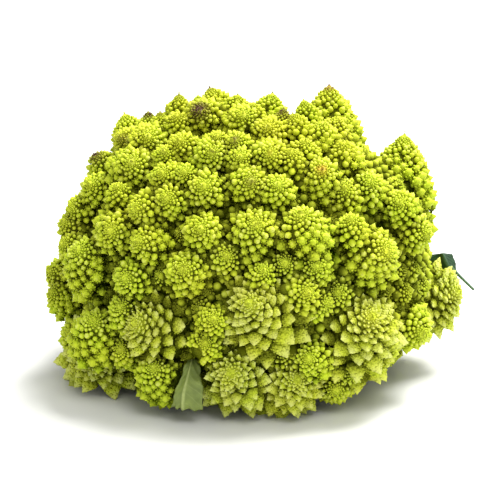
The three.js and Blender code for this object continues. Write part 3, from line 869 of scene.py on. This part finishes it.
def spotted(points, spots):
    """The largest of strength times e to the minus (distance / radius) squared."""
    marks = np.zeros(len(points))
    for spot, radius, strength in spots:
        away = np.linalg.norm(points - spot, axis=1)
        marks = np.maximum(marks, strength * np.exp(-((away / radius) ** 2)))
    return marks


# %% [markdown]
# ## Copies of the shapes, with their marks
#
# Each kind and size of bud is one small shape, and numpy sets all its copies in their places in one go, with
# the marks of their vertices beside them. Instances would take less memory, but their vertices could not
# carry marks of their own, and the piece has to be one mesh in the end.

# %% Meshes of the buds and of the bodies
MARKS = ("crest", "reach", "shade", "tint", "crowd", "pale", "sunk", "fine", "bare")
BUD_OVERLAP = 1.08
WIDEST_BUD = 99.0
floret_tint = rng.normal(0, 1, len(all_florets) + 1)


def bud_mesh(chosen):
    """Every chosen bud in the shape of its kind and size, with the marks of its vertices."""
    points, faces = [], []
    marks = {mark: [] for mark in MARKS}
    total = 0
    for kind, shapes in ((BEAD, BEADS), (CLUMP, CLUMPED), (SCALE, SCALES)):
        scaly = float(kind == SCALE)
        lows = [low for low, _ in shapes] + [WIDEST_BUD]
        for (low, shape), high in zip(shapes, lows[1:]):
            pick = chosen & (buds["kind"] == kind) & (buds["width"] >= low) & (buds["width"] < high)
            if not pick.any():
                continue
            picked = {key: values[pick] for key, values in buds.items()}
            sizes = picked["width"] * BUD_OVERLAP
            moved, joined = placed(shape, picked["foot"], picked["lean"], sizes, picked["across"])
            each = len(shape[0])
            points.append(moved)
            faces.append(joined + total)
            total += len(moved)
            marks["crest"].append(np.tile(np.clip(shape[0][:, 2] / 0.7, 0, 1), len(sizes)))
            marks["reach"].append(np.repeat(picked["reach"], each))
            marks["shade"].append(np.repeat(rng.uniform(0, 1, len(sizes)), each))
            marks["tint"].append(np.repeat(floret_tint[picked["floret"]], each))
            marks["crowd"].append(np.repeat(np.clip(1 + picked["cover"] / 6, 0, 1), each))
            marks["pale"].append(np.full(len(moved), scaly))
            marks["sunk"].append(np.repeat(picked["sunk"], each))
            marks["fine"].append(np.full(len(moved), 0.12 * scaly))
            marks["bare"].append(np.zeros(len(moved)))
    marks = {mark: np.concatenate(values) for mark, values in marks.items()}
    return np.concatenate(points), np.concatenate(faces), marks


def body_mesh(indices):
    """The bodies of some florets, each laid along its axis from its tip."""
    points, faces, tint, reach = [], [], [], []
    total = 0
    for index in indices:
        floret = all_florets[index]
        shape = body_shape(floret)
        moved, joined = placed(shape, floret["tip"][None], floret["axis"][None], [1.0])
        points.append(moved)
        faces.append(joined + total)
        total += len(moved)
        tint.append(np.full(len(moved), floret_tint[index]))
        reach.append(np.clip(-shape[0][:, 2] / floret["tall"], 0, 1.3))
    points = np.concatenate(points)
    reach = np.concatenate(reach)
    marks = {
        # crest falls down each body's flank, so the painted shade darkens the body below its tip
        "crest": np.clip(0.9 - 2.5 * reach, 0, 1),
        "reach": reach,
        "shade": np.full(total, 0.3),
        "tint": np.concatenate(tint),
        "crowd": np.ones(total),
        "pale": np.zeros(total),
        "sunk": sunk_below(points),
        "fine": np.zeros(total),
        "bare": np.ones(total),
    }
    return points, np.concatenate(faces), marks


# %% [markdown]
# ## Making the pieces
#
# All the florets are one grown thing, but one mesh of a million faces is slow to handle. So the head is
# parted like an orange, by the direction in which each floret stands, into segments that hold about equal
# shares of the buds. The mound with its own beads is the last piece.

# %% Pieces of the head
def new_piece(name, points, faces, marks, replaced, slot):
    """A smooth-shaded mesh in metres, with one value a vertex for each mark."""
    mesh = bpy.data.meshes.new(name)
    mesh.vertices.add(len(points))
    mesh.vertices.foreach_set("co", (points * MM).astype(np.float32).ravel())
    mesh.loops.add(faces.size)
    mesh.loops.foreach_set("vertex_index", faces.astype(np.int32).ravel())
    mesh.polygons.add(len(faces))
    mesh.polygons.foreach_set("loop_start", np.arange(0, faces.size, 3, dtype=np.int32))
    mesh.polygons.foreach_set("use_smooth", np.ones(len(faces), bool))
    for mark, values in marks.items():
        layer = mesh.attributes.new(mark, "FLOAT", "POINT")
        layer.data.foreach_set("value", values.astype(np.float32))
    mesh.update(calc_edges=True)
    mesh.validate()
    piece = bpy.data.objects.new(name, mesh)
    bpy.context.scene.collection.objects.link(piece)
    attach(piece, "root")
    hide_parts(replaced)
    print(name, "triangles:", len(faces))
    return piece


def joined_meshes(meshes):
    """Several (points, faces, marks) as one."""
    points = np.concatenate([m[0] for m in meshes])
    starts = np.cumsum([0] + [len(m[0]) for m in meshes[:-1]])
    faces = np.concatenate([m[1] + start for m, start in zip(meshes, starts)])
    marks = {key: np.concatenate([m[2][key] for m in meshes]) for key in meshes[0][2]}
    return points, faces, marks


SEGMENTS = 7
FACES_BY_WIDTH = ([0.5, 1.3, 2, 3, 4, 6], [10, 20, 24, 100, 160, 300])  # millimetres, and about how many
tips = np.array([floret["tip"] for floret in all_florets])
of_floret = buds["floret"] >= 0
bud_faces = np.interp(buds["width"], *FACES_BY_WIDTH)
floret_faces = np.bincount(buds["floret"][of_floret], bud_faces[of_floret], len(tips))
order = np.argsort(np.arctan2(tips[:, 0], -tips[:, 1]))
share_before = np.cumsum(floret_faces[order]) / floret_faces.sum()
segment_of = np.empty(len(tips), int)
segment_of[order] = np.minimum((share_before * SEGMENTS).astype(int), SEGMENTS - 1)

mound_points, mound_faces = mound_surface()
mound_marks = {mark: np.zeros(len(mound_points)) for mark in MARKS}
mound_marks["reach"] += 1.1
mound_marks["crowd"] += 1.0
mound_marks["bare"] += 1.0
mound_marks["sunk"] = sunk_below(mound_points)
LOWEST = 0.05
WIDEST_FLORETS = 95.5
head_pieces = []


def head_piece(name, meshes):
    """The meshes joined and held inside the solid's box, with the marks that depend on place alone."""
    points, faces, marks = joined_meshes(meshes)
    points = np.clip(points, [*solid_low[:2], LOWEST], [WIDEST_FLORETS, *solid_high[1:]])
    marks["bruise"] = spotted(points, bruise_spots)
    marks["amber"] = spotted(points, amber_spots)
    # outer is near 1 on the skin and 0 deep inside, where the flesh is painted in shade
    marks["outer"] = np.clip((depth_in_head(points) - MOUND_SHARE) / 0.15, 0, 1)
    head_pieces.append(new_piece(name, points, faces, marks, "curd", "curd"))


for segment in range(SEGMENTS):
    indices = np.flatnonzero(segment_of == segment)
    meshes = [bud_mesh(np.isin(buds["floret"], indices)), body_mesh(indices)]
    head_piece("florets_%d" % (segment + 1), meshes)
head_piece("mound", [(mound_points, mound_faces, mound_marks), bud_mesh(~of_floret)])
print("triangles in all:", sum(len(piece.data.polygons) for piece in head_pieces))

# %% [markdown]
# ## The blades of the leaves
#
# Each blade is the smooth sheet of its rows, given gentle waves, a midrib with side veins and a nibbled
# edge. Both faces follow the same waves, so it keeps its thickness. The stalk is a round rod along an arc.

# %% Leaf blades
def leaf_blade(rows, thick, wave, crinkle, along=44, across=23):
    """The smooth rows moved by sine waves that grow towards the sides, as two faces half a thickness apart.

    The midrib is a bell curve across, the side veins are cosines on a slant, and sines along the end and the
    sides nibble the edge.
    """
    grid, side = smooth_rows(rows, along, across)
    down = np.linspace(0, 1, along)[:, None]
    out = np.abs(side)
    facing = unit(np.cross(grid[-1, across // 2] - grid[0, across // 2], grid[-1, -1] - grid[-1, 0]))
    ripple = np.sin(9 * down + 2.2 * side) * out**1.5
    fold = np.sin(30 * down - 3 * side) * out**3 * 0.5
    rib = 0.35 * np.exp(-((side / 0.13) ** 2)) * (1 - 0.5 * down)
    veins = 0.10 * np.cos(2 * math.pi * (7 * down - 1.6 * out)) * np.minimum(1, out * 4)
    edge = crinkle * np.clip(down - 0.8, 0, 1) * 5 * np.sin(11 * side + 1)
    nibbled = 0.4 * crinkle * side * out**3 * (np.sin(21 * down) + 0.5 * np.sin(47 * down + 2))
    lengthwise = unit(grid[-1, across // 2] - grid[0, across // 2])
    crosswise = np.cross(lengthwise, facing)
    crosswise = crosswise * np.sign(crosswise @ RIGHT)
    middle = grid + (wave * (ripple + fold))[..., None] * facing + edge[..., None] * lengthwise
    middle = middle + nibbled[..., None] * crosswise
    front = middle + (thick / 2 + rib + veins)[..., None] * facing
    rear = middle - (thick / 2 + 0.5 * rib - 0.5 * veins)[..., None] * facing
    points = np.concatenate([front.reshape(-1, 3), rear.reshape(-1, 3)])
    at = np.arange(along * across).reshape(along, across)
    a, b, c, d = at[:-1, :-1].ravel(), at[:-1, 1:].ravel(), at[1:, 1:].ravel(), at[1:, :-1].ravel()
    half = along * across
    faces = [np.stack(t, axis=1) for t in ((a, d, c), (a, c, b))]
    faces += [np.stack(t, axis=1) + half for t in ((a, c, d), (a, b, c))]
    rim = np.concatenate([at[0, :-1], at[:-1, -1], at[-1, :0:-1], at[:0:-1, 0]])
    after = np.roll(rim, -1)
    faces += [np.stack(t, axis=1) for t in ((rim, after, after + half), (rim, after + half, rim + half))]
    marks = {
        "across": np.tile(np.tile(side, along), 2),
        "down": np.tile(np.repeat(down.ravel(), across), 2),
        "stalk": np.zeros(2 * half),
    }
    return points, np.concatenate(faces), marks


def stalk(start, end, radius, bend, sides=10, rings=16):
    """A round stalk along an arc: straight from start to end + bend times the sine of the way."""
    start, end = np.array(start), np.array(end)
    t = np.linspace(0, 1, rings)
    along = unit(end - start)
    side, ahead = frame_of(along)
    middle = start + t[:, None] * (end - start) + bend * np.sin(math.pi * t)[:, None] * side
    thick = radius * (1 - 0.15 * t)
    turn = 2 * math.pi * np.arange(sides) / sides
    spoke = np.cos(turn)[:, None] * side + np.sin(turn)[:, None] * ahead
    points = (middle[:, None] + thick[:, None, None] * spoke).reshape(-1, 3)
    points = np.concatenate([points, [middle[0]], [middle[-1]]])
    k = np.arange(sides)
    after = (k + 1) % sides
    faces = []
    for ring in range(rings - 1):
        a = ring * sides
        faces += [np.stack([a + k, a + after, a + sides + after], axis=1)]
        faces += [np.stack([a + k, a + sides + after, a + sides + k], axis=1)]
    last = (rings - 1) * sides
    faces += [np.stack([0 * k + len(points) - 2, after, k], axis=1)]
    faces += [np.stack([0 * k + len(points) - 1, last + k, last + after], axis=1)]
    way = np.concatenate([np.repeat(t, sides), [0, 1.2]])
    marks = {"across": np.zeros(len(points)), "down": way, "stalk": np.ones(len(points))}
    return points, np.concatenate(faces), marks


LEAF_THICK = 0.7
STALK_RADIUS = 0.72
front_mesh = leaf_blade(FRONT_LEAF_ROWS, LEAF_THICK, 0.7, 0.6)
front_leaf = new_piece("leaf_front_blade", *front_mesh, "leaf_front", "leaf_pale")
stalk_ends = [point_in_view(*end) for end in SIDE_STALK]
side_blade = leaf_blade(SIDE_LEAF_ROWS, LEAF_THICK, 0.35, 0.3)
side_points, side_faces, side_marks = joined_meshes([side_blade, stalk(*stalk_ends, STALK_RADIUS, 0.5)])
side_points = np.clip(side_points, solid_low, solid_high)
side_leaf = new_piece("leaf_side_blade", side_points, side_faces, side_marks, "leaf_side", "leaf_dark")

# %% [markdown]
# ## The stem
#
# The head stands on the stump of its stem, cut flat, with the stubs of the outer leaves' stalks still on
# it. It is a turned shape with shallow ribs that run down it, because the stem's fibres show where the
# leaves were pared off. The picture hides it, so it is made as it is on any head that is cut for sale.

# %% Stem
STEM_RADIUS = 19.0
STEM_CUT_LEVEL = 0.02
STEM_PROFILE = [
    (17.5, STEM_CUT_LEVEL),
    (18.6, 0.7),
    (STEM_RADIUS, 1.5),
    (18.75, 7),
    (18.5, 12),
    (18.25, 17),
    (18, 23),
    (15, 26),
]
STUB_COUNT = 5
STUB_PROFILE = [(3.9, 0.2), (3.4, 7), (3.0, 12.2), (2.7, 12.9), (1.3, 12.95)]


def stem_mesh(sides=72):
    """The profile turned, each radius times 1 - 0.012 (1 + cos of 9 turns), and the stubs as short rods."""
    cut_ring = (0.55 * STEM_PROFILE[0][0], STEM_CUT_LEVEL)
    points, faces = turned([cut_ring, *STEM_PROFILE], STEM_CUT_LEVEL, 26.0, sides)
    around = np.arctan2(points[:, 1], points[:, 0])
    ribs = 1 - 0.012 * (1 + np.cos(9 * around)) * np.clip(points[:, 2] / 3, 0, 1)
    points = points * np.stack([ribs, ribs, np.ones(len(points))], axis=1)
    spread = np.hypot(points[:, 0], points[:, 1])
    cut = (points[:, 2] < 0.1).astype(float)
    meshes = [(points, faces, {"from_middle": spread / STEM_RADIUS, "cut": cut})]
    for k in range(STUB_COUNT):
        outward = np.array([math.cos(k * GOLDEN_ANGLE), math.sin(k * GOLDEN_ANGLE), 0])
        start = outward * 13 + [0, 0, 4.5]
        axis = unit(outward * 13 + np.array([0, 0, 2]))
        rod = turned(STUB_PROFILE, 0.0, 12.9, 20)
        points, faces = placed(rod, start[None], axis[None], [1.0])
        far = (np.linalg.norm(points - start, axis=1) > 12.6).astype(float)
        meshes.append((points, faces, {"from_middle": np.tile([0.6], len(points)), "cut": far}))
    return joined_meshes(meshes)


stem = new_piece("stem_stump", *stem_mesh(), "stem", "stem")

# %% [markdown]
# ## Tools for the materials
#
# A material is a small program made of nodes: each reads a place or a mark, and passes a number or a colour
# on. Wiring every one by hand soon gets long, so a few short functions each add one node and return its
# output. All patterns are worked out from the object's own coordinates, so they stay where they are when the
# head is moved.

# %% Nodes, arithmetic, mixes and noise
def node(tree, kind, values=None, **settings):
    """A node of a kind, with settings and values for its sockets."""
    made = tree.nodes.new(kind)
    for key, value in settings.items():
        setattr(made, key, value)
    for key, value in (values or {}).items():
        made.inputs[key].default_value = value
    return made


def carried(tree, mark):
    """The value that the vertices carry under this name."""
    return node(tree, "ShaderNodeAttribute", attribute_name=mark).outputs["Fac"]


def between_values(tree, value, low, high, low_to=0.0, high_to=1.0, smooth=False):
    """value from low..high to low_to..high_to, held at the ends."""
    made = node(tree, "ShaderNodeMapRange", {1: low, 2: high, 3: low_to, 4: high_to})
    made.interpolation_type = "SMOOTHSTEP" if smooth else "LINEAR"
    tree.links.new(value, made.inputs[0])
    return made.outputs[0]


def calc(tree, operation, *terms):
    """One step of arithmetic on sockets or numbers."""
    made = node(tree, "ShaderNodeMath", operation=operation)
    for place, term in enumerate(terms):
        if isinstance(term, (int, float)):
            made.inputs[place].default_value = term
        else:
            tree.links.new(term, made.inputs[place])
    return made.outputs[0]


def blended(tree, share, first, second, kind="MIX"):
    """A mix of two colours, each a socket or red, green and blue."""
    made = node(tree, "ShaderNodeMix", data_type="RGBA", blend_type=kind)
    if isinstance(share, (int, float)):
        made.inputs[0].default_value = share
    else:
        tree.links.new(share, made.inputs[0])
    for place, colour in ((6, first), (7, second)):
        if isinstance(colour, tuple):
            made.inputs[place].default_value = (*colour, 1.0)
        else:
            tree.links.new(colour, made.inputs[place])
    return made.outputs[2]


def noise(tree, where, per_metre, detail=3.0, roughness=0.55):
    """Cloudy noise, so many clouds to the metre."""
    values = {"Scale": per_metre, "Detail": detail, "Roughness": roughness}
    made = node(tree, "ShaderNodeTexNoise", values)
    tree.links.new(where, made.inputs["Vector"])
    return made.outputs["Fac"]


def domes(tree, where, per_metre, uneven, edge):
    """Round cells, so many to the metre: 1 near a cell's middle, 0 at the edge distance from it."""
    made = node(tree, "ShaderNodeTexVoronoi", {"Scale": per_metre, "Randomness": uneven})
    tree.links.new(where, made.inputs["Vector"])
    return between_values(tree, made.outputs["Distance"], edge, 0.1)


def bumped(tree, height, strength, metres, below=None):
    """A bump by height, so many metres high, on top of an earlier bump."""
    made = node(tree, "ShaderNodeBump", {"Strength": strength, "Distance": metres})
    tree.links.new(height, made.inputs["Height"])
    if below is not None:
        tree.links.new(below, made.inputs["Normal"])
    return made.outputs["Normal"]


def start_material(name, roughness, scatter, scatter_reach):
    """A new material with its surface shader, and the object's own coordinates."""
    made = bpy.data.materials.new(name)
    made.use_nodes = True
    tree = made.node_tree
    shader = tree.nodes["Principled BSDF"]
    shader.inputs["Roughness"].default_value = roughness
    shader.inputs["Subsurface Weight"].default_value = scatter
    shader.inputs["Subsurface Radius"].default_value = scatter_reach
    shader.inputs["Subsurface Scale"].default_value = 1.0
    where = node(tree, "ShaderNodeTexCoord").outputs["Object"]
    return made, tree, shader, where


# %% [markdown]
# ## How open to the light each spot is
#
# The colour of the flesh carries painted shade: flesh that stands in the open is lime, and flesh in a cleft
# is painted dark green. The lamps alone would not show this, because their light is so soft that it reaches
# into the clefts. So one number, from 0 in a cleft to 1 in the open, is added up from what the marks say, and
# the colours follow it.

# %% Openness of the flesh
def openness(tree, crest, reach, up, pebbles, grain):
    """Painted shade: more for outer and crest, less for crowd, far reach, sunk and bare, and for a low bud's
    foot, so that clefts, the feet of buds, low flanks, the low head and the edges of cells and grains come
    out darker.
    """
    total = calc(tree, "MULTIPLY", carried(tree, "outer"), 0.75)
    total = calc(tree, "MULTIPLY_ADD", carried(tree, "crowd"), -0.65, total)
    total = calc(tree, "ADD", total, calc(tree, "MULTIPLY_ADD", crest, 1.05, -0.30))
    total = calc(tree, "SUBTRACT", total, between_values(tree, reach, 0.75, 1.6, 0.0, 0.45))
    sunk = between_values(tree, carried(tree, "sunk"), -3.4, 2.2, -0.40, 0.95)
    total = calc(tree, "SUBTRACT", total, sunk)
    total = calc(tree, "ADD", total, calc(tree, "MULTIPLY", pebbles, 0.35))
    total = calc(tree, "SUBTRACT", total, calc(tree, "MULTIPLY", carried(tree, "bare"), 0.12))
    total = calc(tree, "ADD", total, calc(tree, "MULTIPLY", grain, 0.55))
    foot = calc(tree, "SUBTRACT", 1.0, crest)
    low = between_values(tree, up, 0.11, 0.05, 0.0, 0.32)
    total = calc(tree, "SUBTRACT", total, calc(tree, "MULTIPLY", foot, low))
    return between_values(tree, total, -0.28, 0.85)


# %% [markdown]
# ## The colour of the flesh
#
# From the clefts outwards it runs from a painted shade of dark green to lime, and from there to a pale yellow
# green on the youngest tips and on the tops of the buds, where it is partly their own colour and partly
# painted highlight. Each bud is a little lighter or darker than the next, and the crown is a little warmer,
# where the sun reached it. Stains come last, so that they cover everything.

# %% Colours of the flesh
# The first colour is painted shade in the clefts; the two tip colours are partly the young flesh's own colour
# and partly painted highlight on the tops of the buds.
CLEFT_SHADE_GREEN = (0.017, 0.034, 0.000)
LIME = (0.395, 0.535, 0.008)
YOUNG_TIP = (0.585, 0.64, 0.05)
PALE_TIP = (0.575, 0.625, 0.20)
SUNNED = (0.60, 0.55, 0.03)
SPECKLE = (0.68, 0.74, 0.10)
AMBER = (0.45, 0.20, 0.02)
BRUISE_BROWN = (0.090, 0.045, 0.022)


def grown_colour(tree, openness_to_light, crest, reach):
    """Painted shade from cleft green to lime by openness, then to the tips' colours by nearness to the
    floret's tip and by height^2.2 on the bud, the last partly painted highlight; held back in the shade.
    """
    colour = blended(tree, openness_to_light, CLEFT_SHADE_GREEN, LIME)
    youth = between_values(tree, reach, 1.2, 0.25)
    height = calc(tree, "POWER", crest, 2.2)
    lift = calc(tree, "MULTIPLY_ADD", youth, 0.35, calc(tree, "MULTIPLY", height, 0.55))
    lift = calc(tree, "ADD", lift, between_values(tree, carried(tree, "shade"), 0, 1, -0.14, 0.14))
    lift = calc(tree, "MULTIPLY_ADD", carried(tree, "pale"), 0.35, lift)
    lift = calc(tree, "MULTIPLY", lift, between_values(tree, openness_to_light, 0.0, 0.36, 0.55, 1.0))
    colour = blended(tree, between_values(tree, lift, 0.0, 1.15), colour, YOUNG_TIP)
    return blended(tree, between_values(tree, lift, 0.60, 1.15, 0.0, 0.8), colour, PALE_TIP)


def warmed(tree, colour, openness_to_light, clouds, up):
    """Towards the sunned colour by clouds, the floret's tint and height on the head, less in the clefts."""
    warmth = between_values(tree, clouds, 0.40, 0.70, 0.0, 0.25)
    warmth = calc(tree, "MULTIPLY_ADD", carried(tree, "tint"), 0.06, warmth)
    warmth = calc(tree, "ADD", warmth, between_values(tree, up, 0.07, 0.12, 0.0, 0.20))
    warmth = calc(tree, "MULTIPLY", warmth, between_values(tree, openness_to_light, 0.0, 0.6, 0.35, 1.0))
    return blended(tree, between_values(tree, warmth, 0.0, 1.0), colour, SUNNED)


def stained(tree, colour, speckle):
    """Pale speckles by noise, then amber and brown by their marks times the same noise."""
    colour = blended(tree, between_values(tree, speckle, 0.64, 0.80, 0, 0.3), colour, SPECKLE)
    patchy = between_values(tree, speckle, 0.35, 0.6, 0.5, 1.3)
    amber = calc(tree, "MULTIPLY", carried(tree, "amber"), patchy)
    colour = blended(tree, between_values(tree, amber, 0.1, 0.9), colour, AMBER)
    bruise = calc(tree, "MULTIPLY", carried(tree, "bruise"), patchy)
    return blended(tree, between_values(tree, bruise, 0.15, 0.9), colour, BRUISE_BROWN)


# %% [markdown]
# ## The flesh put together
#
# One material serves the whole head. The flesh is slightly see-through, which is what makes the tips glow,
# and its wax dulls the shine. The finest relief is only a bump: a grain on the wax, grains on the scales, and
# round cells on the bare flesh between the buds, which would be too many to model.

# %% Material of the florets
def flesh_material():
    """Colour by openness (painted shade), age (partly painted highlight on the bud tops) and stains, shine by
    openness, and three sizes of bump.
    """
    made, tree, shader, where = start_material("romanesco_flesh", 0.5, 0.06, (0.0012, 0.0014, 0.0002))
    crest = carried(tree, "crest")
    reach = carried(tree, "reach")
    place = node(tree, "ShaderNodeSeparateXYZ")
    tree.links.new(where, place.inputs[0])
    up = place.outputs["Z"]
    pebbles = calc(tree, "MULTIPLY", carried(tree, "bare"), domes(tree, where, 330.0, 0.85, 0.65))
    grain = calc(tree, "SUBTRACT", domes(tree, where, 850.0, 0.7, 0.62), 0.55)
    grain = calc(tree, "MULTIPLY", grain, carried(tree, "fine"))
    openness_to_light = openness(tree, crest, reach, up, pebbles, grain)
    colour = grown_colour(tree, openness_to_light, crest, reach)
    colour = warmed(tree, colour, openness_to_light, noise(tree, where, 55, 2), up)
    colour = stained(tree, colour, noise(tree, where, 900, 3))
    tree.links.new(colour, shader.inputs["Base Color"])
    shine = between_values(tree, openness_to_light, 0.0, 1.0, 0.0, 0.15)
    tree.links.new(shine, shader.inputs["Specular IOR Level"])
    fine = noise(tree, where, 2600, 4, 0.6)
    tree.links.new(between_values(tree, fine, 0.3, 0.7, 0.42, 0.62), shader.inputs["Roughness"])
    relief = bumped(tree, fine, 0.35, 0.0004)
    relief = bumped(tree, pebbles, 1.0, 0.0018, relief)
    relief = bumped(tree, grain, 1.0, 0.0008, relief)
    tree.links.new(relief, shader.inputs["Normal"])
    return made


flesh = flesh_material()
for piece in head_pieces:
    piece.data.materials.append(flesh)
print("flesh nodes:", len(flesh.node_tree.nodes))

# %% [markdown]
# ## The colours of the leaves
#
# The leaf at the front is grey green under a bloom of wax, with paler veins; the one at the right is dark,
# as a leaf from outside, and its stalk ends in a dark cut. The veins could be drawn as a picture, but here
# they are worked out from the blade's own two directions, so they bend with it and stay sharp.

# %% Materials of the leaves
TORN_BROWN = (0.05, 0.03, 0.015)


def leaf_material(name, deep, light, vein, roughness):
    """Deep to light by noise, and the vein colour near the midrib and along slanting side veins."""
    made, tree, shader, where = start_material(name, roughness, 0.0, (0.001, 0.001, 0.001))
    across = calc(tree, "ABSOLUTE", carried(tree, "across"))
    down = carried(tree, "down")
    clouds = noise(tree, where, 140, 4)
    fine = noise(tree, where, 900, 3)
    colour = blended(tree, between_values(tree, clouds, 0.35, 0.65), deep, light)
    slant = calc(tree, "SUBTRACT", calc(tree, "MULTIPLY", down, 7.0), calc(tree, "MULTIPLY", across, 1.6))
    from_middle = calc(tree, "ABSOLUTE", calc(tree, "SUBTRACT", calc(tree, "FRACT", slant), 0.5))
    side_vein = between_values(tree, from_middle, 0.42, 0.5, 0, 0.3, True)
    midrib = between_values(tree, across, 0.16, 0.05, 0, 0.9, True)
    veins = calc(tree, "MAXIMUM", side_vein, midrib)
    veins = calc(tree, "MULTIPLY", veins, between_values(tree, fine, 0.3, 0.6, 0.6, 1.0))
    colour = blended(tree, veins, colour, vein)
    colour = blended(tree, calc(tree, "MULTIPLY", carried(tree, "stalk"), 0.7), colour, vein)
    torn = between_values(tree, down, 1.02, 1.15, 0, 0.9)
    colour = blended(tree, torn, colour, TORN_BROWN)
    tree.links.new(colour, shader.inputs["Base Color"])
    height = calc(tree, "ADD", fine, calc(tree, "MULTIPLY", veins, 0.6))
    tree.links.new(bumped(tree, height, 0.5, 0.0003), shader.inputs["Normal"])
    return made


front_leaf.data.materials.append(
    leaf_material("pale_leaf", (0.13, 0.175, 0.03), (0.21, 0.27, 0.05), (0.36, 0.42, 0.13), 0.6)
)
side_leaf.data.materials.append(
    leaf_material("dark_leaf", (0.008, 0.034, 0.010), (0.018, 0.062, 0.018), (0.045, 0.11, 0.035), 0.45)
)
print("leaf materials:", front_leaf.active_material.name, side_leaf.active_material.name)

# %% [markdown]
# ## The colours of the stem
#
# The stem's skin is pale green and streaked along its fibres, so its noise is stretched upwards. Its cut end
# shows the pith with faint rings, and browns towards the edge, where it has dried.

# %% Material of the stem
STEM_SKIN = ((0.30, 0.38, 0.12), (0.52, 0.60, 0.28))
PITH = ((0.62, 0.64, 0.38), (0.48, 0.52, 0.26))
DRIED_EDGE = (0.26, 0.17, 0.07)
DRIED_PATCH = (0.36, 0.24, 0.10)


def stem_material():
    """Skin streaked along the stem; on the cut, sine rings in the pith, which browns towards the edge."""
    made, tree, shader, where = start_material("cut_stem", 0.6, 0.05, (0.001, 0.001, 0.0004))
    from_middle = carried(tree, "from_middle")
    fine = noise(tree, where, 700, 4)
    clouds = noise(tree, where, 90, 3)
    stretch = node(tree, "ShaderNodeMapping", {"Scale": (1, 1, 0.12)})
    tree.links.new(where, stretch.inputs["Vector"])
    streaks = noise(tree, stretch.outputs[0], 600, 3)
    skin = blended(tree, between_values(tree, streaks, 0.35, 0.65), *STEM_SKIN)
    rings = calc(tree, "SINE", calc(tree, "MULTIPLY", from_middle, 55.0))
    pith = blended(tree, between_values(tree, rings, -1, 1, 0, 0.35), *PITH)
    near_edge = between_values(tree, from_middle, 0.78, 0.95, 0, 0.7, True)
    pith = blended(tree, near_edge, pith, DRIED_EDGE)
    pith = blended(tree, between_values(tree, clouds, 0.5, 0.75, 0, 0.5), pith, DRIED_PATCH)
    colour = blended(tree, carried(tree, "cut"), skin, pith)
    tree.links.new(colour, shader.inputs["Base Color"])
    tree.links.new(bumped(tree, calc(tree, "ADD", fine, streaks), 0.5, 0.0004), shader.inputs["Normal"])
    return made


stem.data.materials.append(stem_material())

# %% [markdown]
# ## The table
#
# The picture is a product shot: a white table that fades into a white wall. A flat square of almost white
# paper does for both. From the camera's height it fills the whole picture, and so much light falls on it
# that it turns white, except for the soft shadow round the head.

# %% Floor
HALF_FLOOR = 3.0
PAPER_WHITE = (0.78, 0.78, 0.76, 1)


def plain_floor():
    """A white square, six metres a side, flat on z = 0."""
    corners = [(-1, -1), (1, -1), (1, 1), (-1, 1)]
    mesh = bpy.data.meshes.new("floor")
    mesh.from_pydata([(HALF_FLOOR * x, HALF_FLOOR * y, 0) for x, y in corners], [], [(0, 1, 2, 3)])
    floor = bpy.data.objects.new("floor", mesh)
    bpy.context.scene.collection.objects.link(floor)
    paper = bpy.data.materials.new("white_table")
    paper.use_nodes = True
    shader = paper.node_tree.nodes["Principled BSDF"]
    shader.inputs["Base Color"].default_value = PAPER_WHITE
    shader.inputs["Roughness"].default_value = 0.8
    mesh.materials.append(paper)


plain_floor()

# %% [markdown]
# ## The light
#
# A white room lights the head from all sides. A broad lamp above and behind it, to the right, brightens the
# crown and throws the soft shadow forward and to the left, and a weaker one before it lifts the front. Broad
# lamps are used, because a small one would draw the hard edge of every bud's shadow.

# %% Lamps and white room
LIT_SPOT = (0, 0, 0.05)


def soft_light(name, place, size, watts):
    """A square lamp of a size in metres, turned to face the head."""
    lamp = bpy.data.lights.new(name, "AREA")
    lamp.size = size
    lamp.energy = watts
    holder = bpy.data.objects.new(name, lamp)
    holder.location = place
    holder.rotation_euler = (Vector(LIT_SPOT) - Vector(place)).to_track_quat("-Z", "Y").to_euler()
    bpy.context.scene.collection.objects.link(holder)
    print(name, "watts:", watts)


soft_light("overhead", (0.44, 0.32, 1.30), 0.8, 43.5)
soft_light("front_fill", (0.30, -1.0, 1.3), 0.7, 9.5)
room = bpy.data.worlds.new("white_room")
room.use_nodes = True
room.node_tree.nodes["Background"].inputs["Color"].default_value = (1, 1, 1, 1)
room.node_tree.nodes["Background"].inputs["Strength"].default_value = 0.64
bpy.context.scene.world = room
bpy.context.scene.view_settings.view_transform = "Standard"

# %% [markdown]
# ## The camera
#
# The camera stands where the view's eye is and looks along the same three directions. Its lens follows from
# them: the film's width times the reach, divided by the width of what the picture shows.

# %% Camera
FILM_WIDTH = 36.0
lens = bpy.data.cameras.new("camera")
lens.sensor_width = FILM_WIDTH
lens.lens = FILM_WIDTH * EYE_REACH / (2 * PICTURE_MIDDLE * MM_PER_PIXEL)
lens.clip_start = 0.05
lens.clip_end = 20
camera = bpy.data.objects.new("camera", lens)
stance = np.eye(4)
stance[:3] = np.column_stack([RIGHT, UP, BACK, EYE * MM])
camera.matrix_world = Matrix(stance.tolist())
bpy.context.scene.collection.objects.link(camera)
bpy.context.scene.camera = camera
print("lens, mm:", round(lens.lens, 1))
